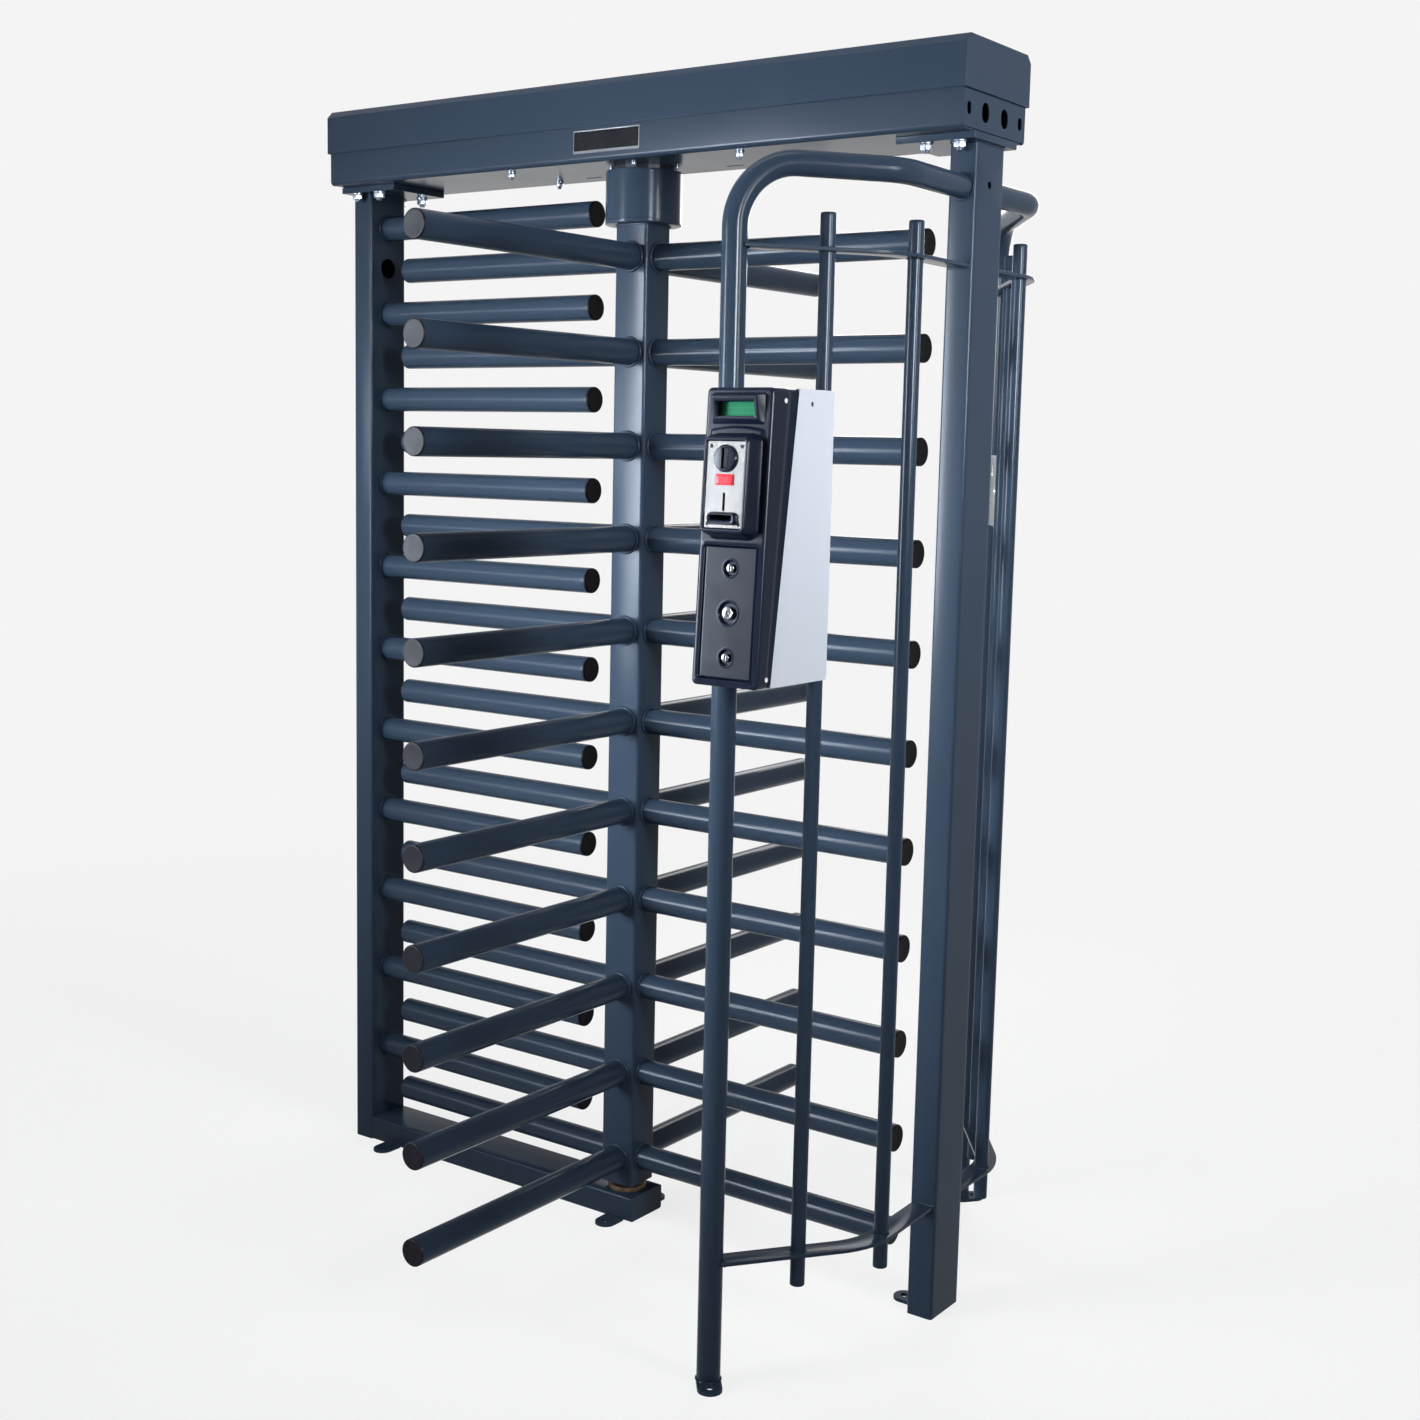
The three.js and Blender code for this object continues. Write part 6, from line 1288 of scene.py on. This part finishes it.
for side in (-1, 1):
    for y, z in cap_places:
        x = unit_x + (unit_width if side > 0 else 0) - side * 0.1
        flange_caps.append(placed(turned(cap_profile, 24), (x, unit_y + y, unit_z + z),
                                  **dict(along_x, w=(side, 0, 0))))
piece("flange_caps", white_cap, "frame", rings=flange_caps)

# Display
# A two-line character display stands behind the window: green, with a painted shadow of the
# window's left wall darkening its left end, and faint square cells with nothing written in them.
display_look = bpy.data.materials.new("green_display")
display_look.use_nodes = True
tree = display_look.node_tree
full_shadow_to, unshadowed_from = 0.5875, 0.6015
place = tree.nodes.new("ShaderNodeTexCoord").outputs["Object"]
split = add_node(tree, "ShaderNodeSeparateXYZ", {0: place})
# Painted shadow of the window's left wall: towards the display's left end the green is mixed to a
# dark colour.
shade = add_node(tree, "ShaderNodeMapRange", {
    "Value": split.outputs["X"], "From Min": full_shadow_to, "From Max": unshadowed_from,
})
stand = add_node(tree, "ShaderNodeMapping", {"Vector": place, "Rotation": (np.pi / 2, 0, 0)})
cells = add_node(tree, "ShaderNodeTexBrick", {
    "Vector": stand.outputs["Vector"], "Scale": 1.0, "Brick Width": 0.0038,
    "Row Height": 0.0078, "Mortar Size": 0.00045, "Color1": (0.012, 0.120, 0.062, 1),
    "Color2": (0.014, 0.130, 0.068, 1), "Mortar": (0.017, 0.155, 0.082, 1),
}, offset=0)
shadowed_green = add_node(tree, "ShaderNodeMix", {
    "Factor": shade.outputs["Result"], "A": (0.004, 0.020, 0.014, 1), "B": cells.outputs["Color"],
}, data_type="RGBA")
set_inputs(tree, tree.nodes["Principled BSDF"], {
    "Base Color": shadowed_green.outputs["Result"], "Emission Color": shadowed_green.outputs["Result"],
    "Emission Strength": 0.3, "Roughness": 0.08, "Specular IOR Level": 0.06,
})
refinish(display_look, "display")

# Coin plate
# A brushed stainless plate in the bezel, held by four small screws. It has a narrow slot, and
# a black finger cup below where rejected coins come back.
stainless = look_of(
    "brushed_stainless", ((0.44, 0.45, 0.47), (0.64, 0.65, 0.67)),
    grain=(700, 60), gloss=(0.06, 0.09, 400), bump=(1200, 0.00002), stretch=(1, 1, 0.04),
    metallic=0.85, specular=0.1,
)
plate_rise = 26.0
cup_half, cup_level = (23.5, 8.0), 251
entry_level, button_level = 339, 308
coin_holes = [
    ((36, 84, 322, 356), (unit_mid, entry_level), (15.3, 15.3), 15.3),
    ((40, 80, 297, 319), (unit_mid, button_level), (15.3, 8.3), 0.8),
    ((54, 66, 261, 290), (unit_mid, 275.5), (2.3, 13.5), 0.5),
    ((34, 86, 241.5, 260.5), (unit_mid, cup_level), cup_half, 4),
]
coin_us = samples([26.5, 34, 36, 40, 54, 66, 80, 84, 86, 93.5], 2.2)
coin_vs = samples([237, 241.5, 260.5, 261, 290, 297, 319, 322, 356, 364], 2.2)
coin_rings, coin_panels = put(pierced_sheet(coin_us, coin_vs, coin_holes, 2),
                              on_front(np.zeros(3), plate_rise), **sloping)
piece("stainless_plate", stainless, "frame", rings=coin_rings, panels=coin_panels,
      replaces=["coin_plate"])


def cup_rows(*rows):
    """Rings of the finger cup. Each is its opening's outline grown by u and v, with a corner
    radius, at a height above the plate and moved down it by the drop."""
    placed_rows = []
    for u, v, corner, height, drop in rows:
        outline = rounded(cup_half[0] + u, cup_half[1] + v, corner, 9)
        placed_rows.append((outline + [unit_mid, cup_level - drop], height))
    return placed_rows


cup_floor = point_row(rounded(9, 9, 4, 9), unit_mid, cup_level)
finger_cup = layers(
    *cup_rows((2.2, 1.6, 6, -2, 0), (2.2, 1.6, 6, 0, 0), (1.9, 1.4, 5.8, 1.5, 0.2),
              (1.2, 0.8, 5.5, 5.2, 0.6), (0.6, 0.2, 5, 7.0, 0.8), (-0.4, -0.7, 4.6, 7.8, 0.9),
              (-2.2, -2.4, 4.0, 7.8, 0.5), (-3.6, -3.9, 3.4, 7.0, -0.6),
              (-4.6, -4.6, 3.0, 5.0, -1.1), (-5.0, -4.9, 2.8, 1.5, -1.3),
              (-5.0, -4.9, 2.8, -15, -1.3), (-6.5, -5.6, 2.2, -20, 0)),
    (cup_floor, -20), (cup_floor, -23),
    *cup_rows((0.2, 0.2, 4.1, -23, 0), (0.2, 0.2, 4.1, -2.05, 0), (2.2, 1.6, 6, -2, 0)),
)
piece("return_cup", moulded_black, "frame",
      rings=[on_front(finger_cup, plate_rise)])
screw_profile = [(0, 0.75), (0.9, 0.75), (1.0, 1.35), (1.9, 1.3), (2.7, 0.95), (3.1, 0.35),
                 (3.2, 0), (3.2, -0.4), (0, -0.4)]
screw_side, screw_levels = 27.5, (243.0, 357.0)
plate_screws = [
    on_front(turned(screw_profile, 24) + [unit_mid + side * screw_side, level, 0], plate_rise)
    for side in (-1, 1) for level in screw_levels
]
piece("plate_screws", oiled_steel, "frame", rings=plate_screws)

# Coin entry and reject button
# A round black boss with two upright ribs guides the coin into a slot between them. Below it
# a red cap stands in its own hole and is pushed to get a jammed coin back.
entry_radius, entry_rise, entry_roll, rib_rise = 20.5, 6.0, 3, 3.0
entry_steps = 120
entry_turn = full_turn(entry_steps)
entry_radii = np.concatenate([np.linspace(0, 17.5, 36), np.linspace(17.7, entry_radius, 12)])
disc_u = entry_radii[:, None] * np.cos(entry_turn)
disc_v = entry_radii[:, None] * np.sin(entry_turn)
dome = entry_rise - 1.0 * (entry_radii / entry_radius) ** 2
roll_in = np.clip((entry_radii - (entry_radius - entry_roll)) / entry_roll, 0, 1)
dome = dome - 3.2 * (1 - np.sqrt(np.clip(1 - roll_in ** 2, 0, 1)))
across_rib = np.abs(disc_u)
rib = ease((5.6 - across_rib) / 0.9) * ease((15.5 - np.abs(disc_v)) / 1.6)
slot_cut = ease((2.1 - across_rib) / 0.7) * ease((13.6 - np.abs(disc_v)) / 0.6)
entry_top = dome[:, None] + rib_rise * rib - (rib_rise + 9.0) * slot_cut
entry = np.stack([disc_u, disc_v, entry_top], -1)
skirt = np.stack([disc_u[-1], disc_v[-1], np.full(entry_steps, -0.4)], -1)
spigot_line = circle(15, entry_steps)
spigot = layers((spigot_line, -0.4), (spigot_line, -9), (point_row(spigot_line), -9))
entry = np.concatenate([entry, skirt[None], spigot])
piece("entry_boss", moulded_black, "frame",
      rings=[on_front(entry + [unit_mid, entry_level, 0], plate_rise)],
      replaces=["coin_entry"], crease=55)
red_cap = look_of(
    "red_button_plastic", ((0.52, 0.030, 0.045), (0.60, 0.045, 0.065)),
    grain=(200, 25), gloss=(0.10, 0.14, 40), bump=(150, 0.00003), specular=0.08,
)
button_line = rounded(15, 8, 1.2)
button = layers(
    (point_row(button_line), 4.0), (rounded(11, 5, 0.9), 3.95), (rounded(13.8, 6.8, 1.0), 3.7),
    (rounded(14.7, 7.7, 1.2), 3.2), (button_line, 2.4), (button_line, -10),
    (point_row(button_line), -10),
)
button_lip = slab(rounded(16.5, 9.5, 1), -2.3, -3.8)
piece("button_cap", red_cap, "reject_button",
      rings=[on_front(grid + [unit_mid, button_level, 0], plate_rise)
             for grid in (button, button_lip)],
      replaces=["reject_button"])
refinish(moulded_black, "coin_validator")

# Cash door
# A moulded panel stands a little back in its frame and swings on two pins at its left edge.
# Each of its three locks sits in a round recess with a softly rounded lip.
lock_places = {"lock_upper": (178.0, 6.5, 12.0), "lock_main": (111.0, 9.5, 17.0),
               "lock_lower": (44.0, 6.5, 12.0)}
door_middle, door_half = (60, 111), (47.0, 99.0)
panel_roll, panel_back, dish_depth, dish_lip = 2.6, 1.6, 4.4, 0.8
door_xs = np.unique(np.concatenate([samples([14.5, 105.5], 0.9), [13.0, 13.4, 107.0, 106.6]]))
door_zs = np.unique(np.concatenate([samples([13.5, 208.5], 0.95), [12.0, 12.4, 210.0, 209.6]]))
grid_x, grid_z = np.meshgrid(door_xs, door_zs, indexing="ij")
door_in = inside_by(grid_x, grid_z, door_middle, door_half, 0.5)
edge_roll = np.clip(panel_roll - door_in, 0, panel_roll)
door_rise = -panel_back - (panel_roll - np.sqrt(panel_roll ** 2 - edge_roll ** 2))
for height, _, recess in lock_places.values():
    reach = np.hypot(grid_x - unit_mid, grid_z - height)
    dish = ease((recess + 0.4 - reach) / 2.4)
    lip = dish_lip * ease(1 - np.abs(reach - recess - 1.2) / 2.0)
    door_rise = door_rise - dish_depth * dish + lip * (1 - dish)
door_grid = np.stack([grid_x, grid_z, door_rise], -1)
door_every = np.ones((len(door_xs) - 1, len(door_zs) - 1), bool)
around = frame_of(door_xs, door_zs)
door_sides = layers((around, -panel_back - panel_roll), (around, -8),
                    (point_row(around, *door_middle), -8))
piece("door_panel", moulded_black, "cash_door", rings=[on_front(door_sides)],
      panels=[(on_front(door_grid), door_every)], replaces=["cash_door"], crease=50)

# Locks
# Three cam locks: a bright cylinder with a key slot, a stem through the door and a flat tongue
# behind it, which turns behind the edge of the frame.
lock_chrome = look_of(
    "lock_chrome", ((0.12, 0.125, 0.14), (0.24, 0.245, 0.26)),
    grain=(260, 60), gloss=(0.08, 0.14, 120), bump=(300, 0.00003), metallic=1.0,
)
head_depth, stem_radius, stem_end = 5.7, 4.5, 10.2
tongue_depth, tongue_thick, tongue_reach = 8.5, 2, 23
head_steps, stem_steps = 64, 32
keyway = slab(rounded(1.2, 4, 0.6), -0.5, 0.04)
for name, (height, radius, _) in lock_places.items():
    ring_turn = full_turn(head_steps)
    radii = np.concatenate([np.linspace(0, radius - 1.0, 18), [radius - 0.6, radius - 0.2, radius]])
    u, v = radii[:, None] * np.cos(ring_turn), radii[:, None] * np.sin(ring_turn)
    fall = np.where(radii > radius - 1.0, (radii - radius + 1.0) ** 2 * 0.8, 0)
    plug_edge = 0.5 * ease((0.5 - np.abs(radii - radius * 0.66)) / 0.4)
    key = ease((1.3 - np.abs(u)) / 0.5) * ease((4.3 - np.abs(v)) / 0.5)
    head_top = -fall[:, None] - plug_edge[:, None] - 3.0 * key
    head = np.stack([u, v, head_top], -1)
    wide, narrow = circle(radius, head_steps), circle(stem_radius, head_steps)
    rest = layers((wide, -0.8), (wide, -head_depth), (narrow, -head_depth), (narrow, -stem_end),
                  (point_row(narrow), -stem_end))
    layer, way = (2.5, 1) if name == "lock_lower" else (0.0, -1)
    tongue_middle = (0, way * tongue_reach)
    tongue_face = -tongue_depth - layer
    tongue = slab(rounded(6, 29, 3) + tongue_middle, tongue_face, tongue_face - tongue_thick,
                  *tongue_middle)
    stem_line = circle(stem_radius, stem_steps)
    stem = layers((stem_line, -9), (stem_line, -10.6 - layer),
                  (point_row(stem_line), -10.6 - layer))
    middle = np.array([unit_mid, height, 0])
    piece(f"{name}_cylinder", lock_chrome, name, replaces=[name], crease=40,
          rings=[on_front(grid + middle)
                 for grid in (np.concatenate([head, rest]), tongue, stem)])
    piece(f"{name}_keyway", black_plug, name, rings=[on_front(keyway + middle)])
refinish(zinc, "cash_box")
